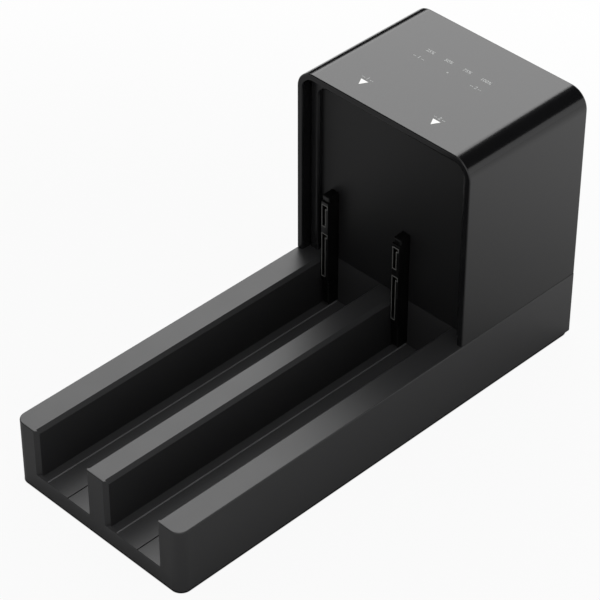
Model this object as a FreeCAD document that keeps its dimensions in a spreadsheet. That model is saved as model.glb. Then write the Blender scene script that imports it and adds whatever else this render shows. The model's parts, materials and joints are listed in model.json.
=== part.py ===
"""Drive duplicator: two open bays in a long tray that run into a tower at the back.

Frame: origin at the middle of the footprint on the table, X to the right, Y from the open front
(-Y) to the tower's back (+Y), Z up, millimetres. Two 3.5-inch drives stand on edge in the bays
and slide back onto the sockets that stand out of the tower's recessed front.
"""
import FreeCAD, Part
import math
import os
import Sketcher
from types import SimpleNamespace

# Driving dimensions in millimetres, or degrees where the name says so
SIZES = {
    # Whole body
    "body_length": 215.0,
    "overall_height": 117.0,
    "base_height": 30.0,
    "tower_depth": 66.5,
    "foot_stand": 0.4,
    "cut_past": 1.0,
    # Bays, sized for the drive that goes in
    "drive_thickness": 26.1,
    "bay_clearance": 0.45,
    "divider_width": 11.6,
    "rail_width": 12.2,
    "bay_floor": 8.0,
    "mouth_chamfer": 1.6,
    "channel_chamfer": 1.45,
    # Tray
    "tray_wall": 2.2,
    "seat_wall": 4.2,
    "skirt_height": 3.4,
    "front_round": 4.5,
    "back_round": 0.8,
    "tray_edge_break": 0.4,
    "lip_height": 2.5,
    "fit_gap": 0.15,
    "screw_boss": 5.6,
    "tray_boss_inset": 4.2,
    "tray_boss_front": 14.0,
    "tray_boss_back": 24.0,
    "socket_slot_gap": 0.3,
    # Bay liners
    "liner_thickness": 1.4,
    "liner_groove_place": 16.0,
    "liner_groove_width": 0.5,
    "liner_groove_depth": 0.6,
    "liner_bead_place": 4.1,
    "liner_bead_width": 0.6,
    "liner_bead_height": 0.3,
    "liner_gutter_depth": 0.5,
    "liner_front_lip": 1.6,
    # Tower hood
    "hood_wall": 2.8,
    "hood_back_wall": 2.4,
    "hood_round": 8.4,
    "hood_back_round": 1.0,
    "hood_edge_break": 0.5,
    "seam_chamfer": 0.35,
    "rim_depth": 4.3,
    "post_radius": 3.2,
    "post_place_x": 37.4,
    "post_front_place": 17.5,
    "post_back_place": 10.5,
    "rib_thickness": 1.2,
    # Recess frame and front panel
    "bezel_width": 4.45,
    "bezel_depth": 2.2,
    "bezel_round": 1.0,
    "bezel_corner": 4.5,
    "panel_thickness": 2.0,
    "panel_boss_height": 0.9,
    # Drive sockets and their guards
    "socket_width": 3.8,
    "socket_offset": 0.5,
    "socket_front_reach": 5.7,
    "socket_low": 19.8,
    "socket_high": 59.4,
    "socket_slot_inset": 0.75,
    "socket_slot_width": 1.3,
    "socket_slot_depth": 5.6,
    "socket_key": 1.0,
    "power_slot_low": 22.7,
    "power_slot_high": 43.5,
    "data_slot_low": 47.8,
    "data_slot_high": 57.6,
    "contact_pitch": 1.27,
    "contact_width": 0.7,
    "contact_thickness": 0.3,
    "contact_length": 3.9,
    "contact_inset": 1.6,
    "socket_edge_break": 0.25,
    "slot_edge_break": 0.3,
    "guard_foot_gap": 0.4,
    "guard_high": 62.0,
    "guard_reach": 5.0,
    "guard_flange": 1.6,
    "guard_flange_inset": 1.0,
    "guard_gap": 0.1,
    "guard_edge_break": 0.6,
    # Circuit boards
    "board_thickness": 1.6,
    "drive_board_half": 36.0,
    "drive_board_low": 12.6,
    "drive_board_headroom": 8.2,
    "drive_board_gap": 0.6,
    "main_board_half": 33.0,
    "main_board_height": 9.0,
    "main_board_end_gap": 0.6,
    "lamp_board_half": 27.0,
    "lamp_board_drop": 5.0,
    "lamp_board_front": 5.0,
    "lamp_board_length": 40.0,
    "header_depth": 3.4,
    "header_height": 5.0,
    "link_header_half": 14.0,
    "lamp_header_half": 8.0,
    "board_screw_inset": 4.0,
    "main_screw_back": 20.0,
    "low_screw_shift": 6.0,
    "low_screw_rise": 8.0,
    # What the boards carry; a rise is counted from the tray's top
    "controller_x": 2.0,
    "controller_rise": 40.0,
    "controller_side": 12.0,
    "controller_thickness": 1.2,
    "memory_x": 22.0,
    "memory_rise": 38.0,
    "memory_width": 5.0,
    "memory_height": 6.0,
    "memory_thickness": 1.5,
    "chip_standoff": 0.1,
    "leg_pitch": 1.27,
    "leg_width": 0.4,
    "leg_thickness": 0.3,
    "leg_reach": 0.9,
    "crystal_x": -11.5,
    "crystal_rise": 35.6,
    "crystal_width": 5.0,
    "crystal_height": 3.2,
    "crystal_thickness": 1.4,
    "inductor_x": 20.0,
    "inductor_rise": 15.0,
    "inductor_side": 6.0,
    "inductor_thickness": 2.8,
    "capacitor_x": 18.0,
    "capacitor_pitch": 9.0,
    "capacitor_front": 8.0,
    "capacitor_radius": 3.2,
    "capacitor_height": 8.0,
    "lamp_pitch": 9.6,
    "lamp_row_half": 15.2,
    "lamp_row_front": 29.0,
    "lamp_row_back": 22.5,
    "lamp_width": 1.6,
    "lamp_length": 1.2,
    "lamp_height": 0.7,
    "guide_radius": 1.3,
    "guide_gap": 0.1,
    # Screws
    "screw_radius": 1.3,
    "screw_head_radius": 2.4,
    "screw_head_height": 1.3,
    "screw_length": 8.0,
    "small_screw_radius": 0.9,
    "small_head_radius": 2.1,
    "thread_gap": 0.05,
    "hole_gap": 0.1,
    "well_gap": 0.2,
    "pilot_past": 1.2,
    "screw_end_gap": 0.2,
    # Bottom cover and feet
    "cover_thickness": 2.2,
    "foot_radius": 5.5,
    "foot_recess": 0.7,
    "foot_inset_x": 30.0,
    "foot_inset_y": 16.0,
    "vent_length": 22.0,
    "vent_width": 2.0,
    "vent_pitch": 5.0,
    "vent_round": 0.95,
    "vent_place": 23.5,
    # Port panel at the back
    "port_side": 4.8,
    "port_low": 7.0,
    "port_high": 27.0,
    "port_round": 1.0,
    "port_panel_thickness": 2.0,
    "port_lap": 1.6,
    "port_gap": 0.2,
    "usb_inset": 29.0,
    "usb_width": 12.0,
    "usb_height": 12.4,
    "usb_depth": 17.0,
    "usb_wall": 0.5,
    "usb_round": 0.9,
    "usb_proud": 0.4,
    "usb_insert_inset": 0.3,
    "usb_mouth_rise": 0.9,
    "usb_mouth_depth": 10.0,
    "usb_mouth_width": 8.4,
    "usb_mouth_height": 5.9,
    "usb_step_width": 6.4,
    "usb_step_height": 7.4,
    "usb_top_width": 5.4,
    "usb_top_height": 10.1,
    "usb_tongue_root": 0.5,
    "usb_tongue_inset": 1.8,
    "usb_tongue_low": 2.2,
    "usb_tongue_high": 5.1,
    "usb_fast_tongue_width": 3.8,
    "usb_fast_tongue_low": 8.2,
    "usb_fast_tongue_high": 9.0,
    "usb_contact_thickness": 0.15,
    "usb_contact_back": 9.0,
    "usb_contact_front": 2.4,
    "usb_contact_x": 1.2,
    "usb_contact_width": 0.8,
    "usb_fast_contact_pitch": 0.8,
    "usb_fast_contact_width": 0.3,
    "jack_inset": 11.5,
    "jack_width": 9.0,
    "jack_height": 11.0,
    "jack_depth": 14.0,
    "jack_bore": 3.15,
    "jack_bore_depth": 9.5,
    "jack_bore_rise": 6.1,
    "jack_mouth_chamfer": 0.45,
    "jack_round": 0.6,
    "jack_pin": 1.0,
    "jack_pin_inset": 1.0,
    "jack_spring_width": 1.6,
    "jack_spring_thickness": 0.3,
    "jack_spring_gap": 0.2,
    "jack_spring_inset": 2.5,
    # Power rocker
    "switch_inset": 24.5,
    "switch_height": 16.8,
    "switch_flange_length": 15.4,
    "switch_flange_height": 10.6,
    "switch_flange_thickness": 1.0,
    "switch_flange_round": 1.0,
    "switch_edge_break": 0.35,
    "switch_body_length": 13.2,
    "switch_body_height": 8.8,
    "switch_depth": 12.0,
    "switch_wall": 0.8,
    "switch_skin": 0.2,
    "switch_room_depth": 4.4,
    "terminal_x": 3.6,
    "terminal_width": 4.8,
    "terminal_length": 5.0,
    "terminal_thickness": 0.8,
    "rocker_gap": 0.3,
    "rocker_end_gap": 0.9,
    "rocker_edge_break": 0.25,
    "rocker_pivot": 0.6,
    "rocker_face": 3.7,
    "rocker_pin": 0.9,
    "rocker_pin_reach": 0.8,
    "rocker_pin_gap": 0.05,
    "rocker_dip": 0.9,
    "rocker_keel": 2.6,
    "rocker_side_depth": 1.6,
    "rocker_side_inset": 0.8,
    "rocker_tilt_deg": 10.0,
    # Duplicate button
    "button_inset": 8.5,
    "button_height": 16.8,
    "button_radius": 3.4,
    "button_gap": 0.2,
    "button_edge_break": 0.5,
    "button_proud": 1.5,
    "button_flange": 1.0,
    "button_flange_rise": 1.2,
    "button_stem_radius": 1.6,
    "button_stem_length": 2.4,
    "button_travel": 0.6,
    "tact_size": 6.0,
    "tact_depth": 3.4,
    "tact_bracket": 1.2,
    "plunger_radius": 1.7,
    "plunger_gap": 0.15,
    "plunger_proud": 1.2,
    "plunger_depth": 1.2,
    "plunger_room": 2.0,
}
# The two bays, by the side that they lie on
SIDES = {"left": -1, "right": 1}
# How many contacts stand in each slot of a drive socket
POWER_CONTACTS = 15
DATA_CONTACTS = 7
# How many contacts the upper tongue of the USB socket carries, and how many vents the cover has
USB_FAST_CONTACTS = 5
VENT_COUNT = 7
# Lamps in the row of progress marks and in the row of status marks
PROGRESS_LAMPS = 4
STATUS_LAMPS = 3
# Two lengths that differ by less than this are taken for the same one
TOLERANCE = 0.01


class Dim:
    """A length together with the spreadsheet expression that it comes from."""

    def __init__(self, value, text):
        self.value = value
        self.text = text

    @staticmethod
    def of(number):
        return number if isinstance(number, Dim) else Dim(float(number), repr(float(number)))

    def __add__(self, other):
        other = Dim.of(other)
        return Dim(self.value + other.value, f"({self.text} + {other.text})")

    def __sub__(self, other):
        other = Dim.of(other)
        return Dim(self.value - other.value, f"({self.text} - {other.text})")

    def __mul__(self, other):
        other = Dim.of(other)
        return Dim(self.value * other.value, f"({self.text} * {other.text})")

    def __truediv__(self, other):
        other = Dim.of(other)
        return Dim(self.value / other.value, f"({self.text} / {other.text})")

    def __neg__(self):
        return Dim(-self.value, f"(0 - {self.text})")

    def __rmul__(self, other):
        return Dim.of(other) * self


ZERO = Dim.of(0)
doc = FreeCAD.newDocument("drive_duplicator")
sheet = doc.addObject("Spreadsheet::Sheet", "Sizes")
for row, (alias, number) in enumerate(SIZES.items(), start=1):
    sheet.set(f"A{row}", str(number))
    sheet.setAlias(f"A{row}", alias)
doc.recompute()
size = SimpleNamespace(**{alias: Dim(number, f"Sizes.{alias}") for alias, number in SIZES.items()})

# Places that follow from the driving dimensions
bay_width = size.drive_thickness + 2 * size.bay_clearance
bay_pitch = bay_width + size.divider_width
half_width = bay_width + size.divider_width / 2 + size.rail_width
back = size.body_length / 2
front = -back
underside = size.foot_stand
past = size.cut_past
tower_front = back - size.tower_depth
bezel_front = tower_front + size.rim_depth
panel_front = bezel_front + size.bezel_depth
panel_back = panel_front + size.panel_thickness
drive_board_front = panel_back + size.panel_boss_height
drive_board_back = drive_board_front + size.board_thickness
channel_floor = size.bay_floor - size.liner_thickness
seat_front = panel_front + size.tray_wall
guard_low = size.bay_floor + size.guard_foot_gap
seat_half = half_width - size.seat_wall
seat_back = back - size.seat_wall
port_half = seat_half - size.port_side
usb_x = port_half - size.usb_inset
jack_x = port_half - size.jack_inset
switch_x = size.switch_inset - port_half
button_x = size.button_inset - port_half
hood_half = half_width - size.hood_wall
hood_ceiling = size.overall_height - size.hood_wall
hood_inner_round = size.hood_round - size.hood_wall
hood_back_inside = back - size.hood_back_wall
drive_board_high = hood_ceiling - size.drive_board_headroom
cover_top = underside + size.cover_thickness
main_board_top = size.main_board_height + size.board_thickness
main_board_front = drive_board_back + size.drive_board_gap
port_panel_front = seat_back - size.port_panel_thickness
main_board_back = port_panel_front - size.main_board_end_gap
lamp_board_top = hood_ceiling - size.lamp_board_drop + size.board_thickness
post_places = [
    (side * size.post_place_x, y)
    for side in SIDES.values()
    for y in (tower_front + size.post_front_place, back - size.post_back_place)
]


def evenly(count, pitch):
    """Places of a row of equal steps whose middle is at zero."""
    return [pitch * (index - (count - 1) / 2) for index in range(count)]


def bay_centre(side):
    """X of the middle of a bay."""
    return side * bay_pitch / 2


def bay_left_wall(side):
    """X of the bay wall that the drive's circuit side faces."""
    return bay_centre(side) - bay_width / 2


def socket_span(side):
    """X of a socket's left and right face."""
    left = bay_left_wall(side) + size.socket_offset
    return left, left + size.socket_width


def socket_slot_span(side):
    """X of the two sides of the opening that a socket and its guard come through."""
    left, right = socket_span(side)
    return left - size.socket_slot_gap, right + size.socket_slot_gap


# Helpers that bind features to the sheet
def bind(feature, prop, dim):
    """Sets a property by its expression."""
    feature.setExpression(prop, Dim.of(dim).text)


def new_body(name):
    """A PartDesign body whose label is the node's name."""
    body = doc.addObject("PartDesign::Body", f"{name}_body")
    body.Label = name
    return body


def new_sketch(body, name, role, offset=ZERO):
    """A sketch on one of the body's origin planes, moved along the plane's normal."""
    plane = [item for item in body.Origin.OriginFeatures if item.Role == role][0]
    sketch = body.newObject("Sketcher::SketchObject", name)
    sketch.AttachmentSupport = [(plane, "")]
    sketch.MapMode = "FlatFace"
    bind(sketch, "AttachmentOffset.Base.z", offset)
    return sketch


def pin_point(sketch, geometry, point, x, y):
    """Ties a point of the sketch to its place from the origin."""
    for kind, dim in (("DistanceX", x), ("DistanceY", y)):
        if dim is None:
            continue
        dim = Dim.of(dim)
        index = sketch.addConstraint(Sketcher.Constraint(kind, -1, 1, geometry, point, dim.value))
        sketch.setExpression(f"Constraints[{index}]", dim.text)


def polygon(sketch, points):
    """A closed outline of straight lines through the given points."""
    first = sketch.GeometryCount
    corners = [FreeCAD.Vector(Dim.of(x).value, Dim.of(y).value, 0) for x, y in points]
    count = len(corners)
    for index in range(count):
        sketch.addGeometry(Part.LineSegment(corners[index], corners[(index + 1) % count]))
    for index, (x, y) in enumerate(points):
        following = first + (index + 1) % count
        sketch.addConstraint(Sketcher.Constraint("Coincident", first + index, 2, following, 1))
        pin_point(sketch, first + index, 1, x, y)


def rectangle(sketch, left, right, low, high):
    """A sharp rectangle."""
    polygon(sketch, [(left, low), (right, low), (right, high), (left, high)])


def rounded_rectangle(sketch, left, right, low, high, radii):
    """A rectangle whose corners are arcs, from low left anticlockwise; None leaves one sharp."""
    left, right, low, high = (Dim.of(dim) for dim in (left, right, low, high))
    inset = [radius.value if radius is not None else 0.0 for radius in radii]
    corners = [(left, low), (right, low), (right, high), (left, high)]
    along = [(1, 0), (0, 1), (-1, 0), (0, -1)]
    lines, arcs = [], []
    for side in range(4):
        (x0, y0), (x1, y1) = corners[side], corners[(side + 1) % 4]
        dx, dy = along[side]
        start = FreeCAD.Vector(x0.value + dx * inset[side], y0.value + dy * inset[side], 0)
        last = inset[(side + 1) % 4]
        end = FreeCAD.Vector(x1.value - dx * last, y1.value - dy * last, 0)
        lines.append(sketch.addGeometry(Part.LineSegment(start, end)))
    for corner, radius in enumerate(radii):
        if radius is None:
            arcs.append(None)
            continue
        sign_x = 1 if corner in (0, 3) else -1
        sign_y = 1 if corner in (0, 1) else -1
        x, y = corners[corner]
        centre = FreeCAD.Vector(x.value + sign_x * radius.value, y.value + sign_y * radius.value, 0)
        circle = Part.Circle(centre, FreeCAD.Vector(0, 0, 1), radius.value)
        start = math.pi * (1 + corner / 2)
        arcs.append(sketch.addGeometry(Part.ArcOfCircle(circle, start, start + math.pi / 2)))
    for side in range(4):
        kind = "Horizontal" if side in (0, 2) else "Vertical"
        sketch.addConstraint(Sketcher.Constraint(kind, lines[side]))
        x, y = corners[side]
        pin_point(sketch, lines[side], 1, None if side in (0, 2) else x, y if side in (0, 2) else None)
        before = lines[side - 1]
        if arcs[side] is None:
            sketch.addConstraint(Sketcher.Constraint("Coincident", before, 2, lines[side], 1))
            continue
        sketch.addConstraint(Sketcher.Constraint("Tangent", before, 2, arcs[side], 1))
        sketch.addConstraint(Sketcher.Constraint("Tangent", arcs[side], 2, lines[side], 1))
        index = sketch.addConstraint(Sketcher.Constraint("Radius", arcs[side], radii[side].value))
        sketch.setExpression(f"Constraints[{index}]", radii[side].text)


def circle(sketch, x, y, radius):
    """A circle by its centre and radius."""
    x, y, radius = Dim.of(x), Dim.of(y), Dim.of(radius)
    centre = FreeCAD.Vector(x.value, y.value, 0)
    index = sketch.addGeometry(Part.Circle(centre, FreeCAD.Vector(0, 0, 1), radius.value))
    pin_point(sketch, index, 3, x, y)
    bound = sketch.addConstraint(Sketcher.Constraint("Radius", index, radius.value))
    sketch.setExpression(f"Constraints[{bound}]", radius.text)


def pad(body, sketch, length, reverse=False):
    """Pads a sketch along its normal."""
    feature = body.newObject("PartDesign::Pad", f"{sketch.Name}_pad")
    feature.Profile = sketch
    feature.Reversed = reverse
    bind(feature, "Length", length)
    doc.recompute()
    return feature


def pocket(body, sketch, depth, reverse=False):
    """Cuts a sketch into the body and checks that it took something away."""
    before = body.Shape.Volume
    feature = body.newObject("PartDesign::Pocket", f"{sketch.Name}_pocket")
    feature.Profile = sketch
    feature.Reversed = reverse
    bind(feature, "Length", depth)
    doc.recompute()
    if body.Shape.Volume >= before:
        raise RuntimeError(f"{feature.Name} cuts nothing")
    return feature


def edges_where(shape, test):
    """Names of the edges that pass a test."""
    return [f"Edge{index}" for index, edge in enumerate(shape.Edges, start=1) if test(edge)]


def near(a, b):
    """True where two lengths are the same to a hundredth of a millimetre."""
    return abs(a - Dim.of(b).value) < TOLERANCE


def edge_break(body, kind, amount, test):
    """A PartDesign fillet or chamfer on the edges of the body's tip that pass a test."""
    tip = body.Tip
    feature = body.newObject(f"PartDesign::{kind}", f"{body.Label}_{kind.lower()}")
    feature.Base = (tip, edges_where(tip.Shape, test))
    bind(feature, "Radius" if kind == "Fillet" else "Size", amount)
    doc.recompute()
    return feature


def block(name, x, y, z):
    """A box between pairs of coordinates along each axis."""
    feature = doc.addObject("Part::Box", name)
    for axis, prop, (low, high) in (("x", "Length", x), ("y", "Width", y), ("z", "Height", z)):
        bind(feature, f"Placement.Base.{axis}", low)
        bind(feature, prop, Dim.of(high) - low)
    return feature


TURNS = {
    "x": FreeCAD.Rotation(FreeCAD.Vector(0, 1, 0), 90),
    "y": FreeCAD.Rotation(FreeCAD.Vector(1, 0, 0), -90),
    "z": FreeCAD.Rotation(),
}


def rod(name, radius, length, start, axis="z"):
    """A cylinder that runs along an axis from its start point."""
    feature = doc.addObject("Part::Cylinder", name)
    feature.Placement = FreeCAD.Placement(FreeCAD.Vector(), TURNS[axis])
    for letter, dim in zip("xyz", start):
        bind(feature, f"Placement.Base.{letter}", dim)
    bind(feature, "Radius", radius)
    bind(feature, "Height", length)
    return feature


def joined(name, parts):
    """One solid fused from several primitives."""
    feature = doc.addObject("Part::MultiFuse", name)
    feature.Shapes = parts
    return feature


def group(name, parts):
    """Separate solids that share one node."""
    feature = doc.addObject("Part::Compound", name)
    feature.Links = parts
    return feature


def cut(name, base, tools):
    """The base with each tool taken away."""
    feature = doc.addObject("Part::Cut", name)
    feature.Base = base
    feature.Tool = tools[0] if len(tools) == 1 else group(f"{name}_tools", tools)
    return feature


nodes = []


def node(feature, name):
    """Registers a finished piece under its node's name."""
    feature.Label = name
    nodes.append(feature)
    return feature


# Housing
def mirrored_pairs(x, y):
    """The four places (+-x, y) for two y values."""
    return [(side * x, place) for side in SIDES.values() for place in y]


tray_boss_places = mirrored_pairs(
    half_width - size.tray_wall - size.tray_boss_inset,
    (front + size.tray_boss_front, tower_front - size.tray_boss_back))


def make_base_tray():
    """Tray with two channels, hollow from below, and an open seat for the tower at the back."""
    body = new_body("base_tray")
    outline = new_sketch(body, "tray_outline", "XY_Plane", size.base_height)
    rounds = (size.front_round, size.front_round, size.back_round, size.back_round)
    rounded_rectangle(outline, -half_width, half_width, front, back, rounds)
    pad(body, outline, size.base_height - underside, reverse=True)

    def round_the_outline(edge):
        ends = [vertex.Point for vertex in edge.Vertexes]
        return any(all(near(end.z, level) for end in ends) for level in (size.base_height, underside))

    edge_break(body, "Fillet", size.tray_edge_break, round_the_outline)

    inset = size.tray_wall
    skirt = new_sketch(body, "tray_skirt", "XY_Plane", underside)
    skirt_rounds = tuple(radius - size.tray_wall for radius in rounds[:2]) + (None, None)
    rounded_rectangle(
        skirt, inset - half_width, half_width - inset, front + inset, back - inset, skirt_rounds)
    pocket(body, skirt, size.skirt_height, reverse=True)

    hollows = new_sketch(body, "tray_hollows", "XY_Plane", underside)
    outer, inner = half_width - inset, bay_pitch / 2 + bay_width / 2 + size.tray_wall
    corner = size.front_round - size.tray_wall
    rounded_rectangle(hollows, -outer, -inner, front + inset, panel_front, (corner, None, None, None))
    rounded_rectangle(hollows, inner, outer, front + inset, panel_front, (None, corner, None, None))
    rib = size.divider_width / 2 - size.tray_wall
    rectangle(hollows, -rib, rib, front + inset, panel_front)
    pocket(body, hollows, size.base_height - underside - size.tray_wall, reverse=True)

    channels = new_sketch(body, "tray_channels", "XY_Plane", size.base_height)
    flare = size.mouth_chamfer
    for side in SIDES.values():
        left, right = bay_left_wall(side), bay_left_wall(side) + bay_width
        polygon(channels, [
            (left - flare, front - past), (right + flare, front - past), (right + flare, front),
            (right, front + flare), (right, panel_front), (left, panel_front),
            (left, front + flare), (left - flare, front)])
    pocket(body, channels, size.base_height - channel_floor)

    seat = new_sketch(body, "tray_seat", "XY_Plane", size.base_height)
    rectangle(seat, -seat_half, seat_half, seat_front, seat_back)
    pocket(body, seat, size.base_height)

    lip = new_sketch(body, "tray_lip", "XY_Plane", size.base_height - past)
    lip_half, lip_back = hood_half - size.fit_gap, hood_back_inside - size.fit_gap
    polygon(lip, [
        (-lip_half, seat_front), (-seat_half, seat_front), (-seat_half, seat_back), (seat_half, seat_back),
        (seat_half, seat_front), (lip_half, seat_front), (lip_half, lip_back), (-lip_half, lip_back)])
    pad(body, lip, size.lip_height + past)

    slots = new_sketch(body, "tray_socket_slots", "XY_Plane", size.base_height)
    for side in SIDES.values():
        left, right = socket_slot_span(side)
        rectangle(slots, left, right, panel_front - past, seat_front + past)
    pocket(body, slots, size.base_height - guard_low + size.socket_slot_gap)

    port = new_sketch(body, "tray_port_opening", "XZ_Plane", -back - past)
    rounded_rectangle(
        port, -port_half, port_half, size.port_low, size.port_high, (size.port_round,) * 4)
    pocket(body, port, size.seat_wall + 2 * past, reverse=True)

    bosses = new_sketch(body, "tray_bosses", "XY_Plane", cover_top)
    for x, y in tray_boss_places:
        circle(bosses, x, y, size.screw_boss / 2)
    pad(body, bosses, size.base_height - cover_top - size.tray_wall / 2)
    pilots = new_sketch(body, "tray_pilots", "XY_Plane", cover_top)
    for x, y in tray_boss_places:
        circle(pilots, x, y, size.screw_radius)
    pocket(body, pilots, size.screw_length, reverse=True)

    top_edges = [
        bay_left_wall(side) + shift for side in SIDES.values() for shift in (ZERO, bay_width)]

    def along_channel(edge):
        ends = [vertex.Point for vertex in edge.Vertexes]
        return (
            len(ends) == 2
            and all(near(end.z, size.base_height) for end in ends)
            and any(all(near(end.x, place) for end in ends) for place in top_edges))

    edge_break(body, "Chamfer", size.channel_chamfer, along_channel)
    return node(body, "base_tray")


def make_bottom_cover():
    """Plate that closes the tray from below, with board standoffs, screw wells and vents."""
    body = new_body("bottom_cover")
    inset = size.tray_wall + size.fit_gap
    outline = new_sketch(body, "cover_outline", "XY_Plane", underside)
    corner = size.front_round - size.tray_wall
    rounded_rectangle(
        outline, inset - half_width, half_width - inset, front + inset, back - inset,
        (corner, corner, None, None))
    pad(body, outline, size.cover_thickness)
    standoffs = new_sketch(body, "cover_standoffs", "XY_Plane", cover_top)
    for x, y in board_screw_places:
        circle(standoffs, x, y, size.post_radius)
    pad(body, standoffs, size.main_board_height - cover_top)
    pilots = new_sketch(body, "cover_pilots", "XY_Plane", size.main_board_height)
    for x, y in board_screw_places:
        circle(pilots, x, y, size.screw_radius)
    pocket(body, pilots, size.main_board_height - cover_top)
    wells = new_sketch(body, "cover_wells", "XY_Plane", underside)
    for x, y in cover_screw_places:
        circle(wells, x, y, size.screw_head_radius + size.well_gap)
    pocket(body, wells, size.screw_head_height, reverse=True)
    holes = new_sketch(body, "cover_holes", "XY_Plane", underside)
    for x, y in cover_screw_places:
        circle(holes, x, y, size.screw_radius + size.hole_gap)
    pocket(body, holes, size.cover_thickness + past, reverse=True)
    recesses = new_sketch(body, "cover_foot_recesses", "XY_Plane", underside)
    for x, y in foot_places:
        circle(recesses, x, y, size.foot_radius + size.hole_gap)
    pocket(body, recesses, size.foot_recess, reverse=True)
    vent = new_sketch(body, "cover_vent", "XY_Plane", underside)
    vent_y = tower_front + size.vent_place
    rounded_rectangle(
        vent, -size.vent_length / 2, size.vent_length / 2, vent_y, vent_y + size.vent_width,
        (size.vent_round,) * 4)
    first = pocket(body, vent, size.cover_thickness + past, reverse=True)
    vents = body.newObject("PartDesign::LinearPattern", "cover_vents")
    vents.Originals = [first]
    vents.Direction = (vent, ["V_Axis"])
    vents.Occurrences = VENT_COUNT
    bind(vents, "Length", size.vent_pitch * (VENT_COUNT - 1))
    body.Tip = vents
    doc.recompute()
    return node(body, "bottom_cover")


def make_tower_hood():
    """Sleeve with a ceiling and a back wall, and four long screw posts inside."""
    body = new_body("tower_hood")
    outline = new_sketch(body, "hood_outline", "XZ_Plane", -back)
    rounds = (None, None, size.hood_round, size.hood_round)
    rounded_rectangle(outline, -half_width, half_width, size.base_height, size.overall_height, rounds)
    pad(body, outline, size.tower_depth)

    def at_back(edge):
        ends = [vertex.Point for vertex in edge.Vertexes]
        return all(near(end.y, back) for end in ends) and not all(
            near(end.z, size.base_height) for end in ends)

    edge_break(body, "Fillet", size.hood_back_round, at_back)

    def at_seam(edge):
        ends = [vertex.Point for vertex in edge.Vertexes]
        return all(near(end.z, size.base_height) for end in ends) and not all(
            near(end.y, tower_front) for end in ends)

    edge_break(body, "Chamfer", size.seam_chamfer, at_seam)

    inside = new_sketch(body, "hood_inside", "XZ_Plane", -tower_front)
    inner = (None, None, hood_inner_round, hood_inner_round)
    rounded_rectangle(inside, -hood_half, hood_half, size.base_height - past, hood_ceiling, inner)
    pocket(body, inside, size.tower_depth - size.hood_back_wall)

    def front_rim(edge):
        ends = [vertex.Point for vertex in edge.Vertexes]
        bottom = all(near(end.z, size.base_height) for end in ends)
        return all(near(end.y, tower_front) for end in ends) and not bottom

    edge_break(body, "Fillet", size.hood_edge_break, front_rim)

    posts = new_sketch(body, "hood_posts", "XY_Plane", cover_top)
    for x, y in post_places:
        circle(posts, x, y, size.post_radius)
    into_wall = size.hood_wall / 2
    pad(body, posts, hood_ceiling - cover_top + into_wall)
    rib_low = size.base_height + size.lip_height + size.rib_thickness
    ribs = new_sketch(body, "hood_ribs", "XY_Plane", rib_low)
    for x, y in post_places:
        low, high = (x, hood_half + into_wall) if x.value > 0 else (-hood_half - into_wall, x)
        rectangle(ribs, low, high, y - size.rib_thickness / 2, y + size.rib_thickness / 2)
    pad(body, ribs, size.overall_height - size.hood_round - rib_low)
    lamp_bosses = new_sketch(body, "hood_lamp_bosses", "XY_Plane", lamp_board_top)
    for x, y in lamp_screw_places:
        circle(lamp_bosses, x, y, size.screw_boss / 2)
    pad(body, lamp_bosses, hood_ceiling - lamp_board_top + into_wall)
    pilots = new_sketch(body, "hood_pilots", "XY_Plane", cover_top)
    for x, y in post_places:
        circle(pilots, x, y, size.screw_radius)
    pocket(body, pilots, size.screw_length, reverse=True)
    lamp_pilots = new_sketch(body, "hood_lamp_pilots", "XY_Plane", lamp_board_top)
    for x, y in lamp_screw_places:
        circle(lamp_pilots, x, y, size.small_screw_radius)
    pocket(body, lamp_pilots, hood_ceiling - lamp_board_top + size.pilot_past, reverse=True)
    return node(body, "tower_hood")


def make_panel_bezel():
    """Frame on three sides of the recess, one step in front of the panel."""
    body = new_body("panel_bezel")
    outer = hood_half - size.fit_gap
    top = hood_ceiling - size.fit_gap
    radius = hood_inner_round - size.fit_gap
    outline = new_sketch(body, "bezel_outline", "XZ_Plane", -bezel_front)
    rounded_rectangle(outline, -outer, outer, size.base_height, top, (None, None, radius, radius))
    pad(body, outline, size.bezel_depth, reverse=True)
    window = new_sketch(body, "bezel_window", "XZ_Plane", -bezel_front)
    inner = outer - size.bezel_width
    corner = size.bezel_corner
    rounded_rectangle(
        window, -inner, inner, size.base_height - past, top - size.bezel_width,
        (None, None, corner, corner))
    pocket(body, window, size.bezel_depth + past)

    def window_edge(edge):
        ends = [vertex.Point for vertex in edge.Vertexes]
        inside = all(abs(end.x) < inner.value + TOLERANCE for end in ends)
        return all(near(end.y, bezel_front) for end in ends) and inside and len(ends) == 2 and not all(
            near(end.z, size.base_height) for end in ends)

    edge_break(body, "Fillet", size.bezel_round, window_edge)
    return node(body, "panel_bezel")


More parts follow.
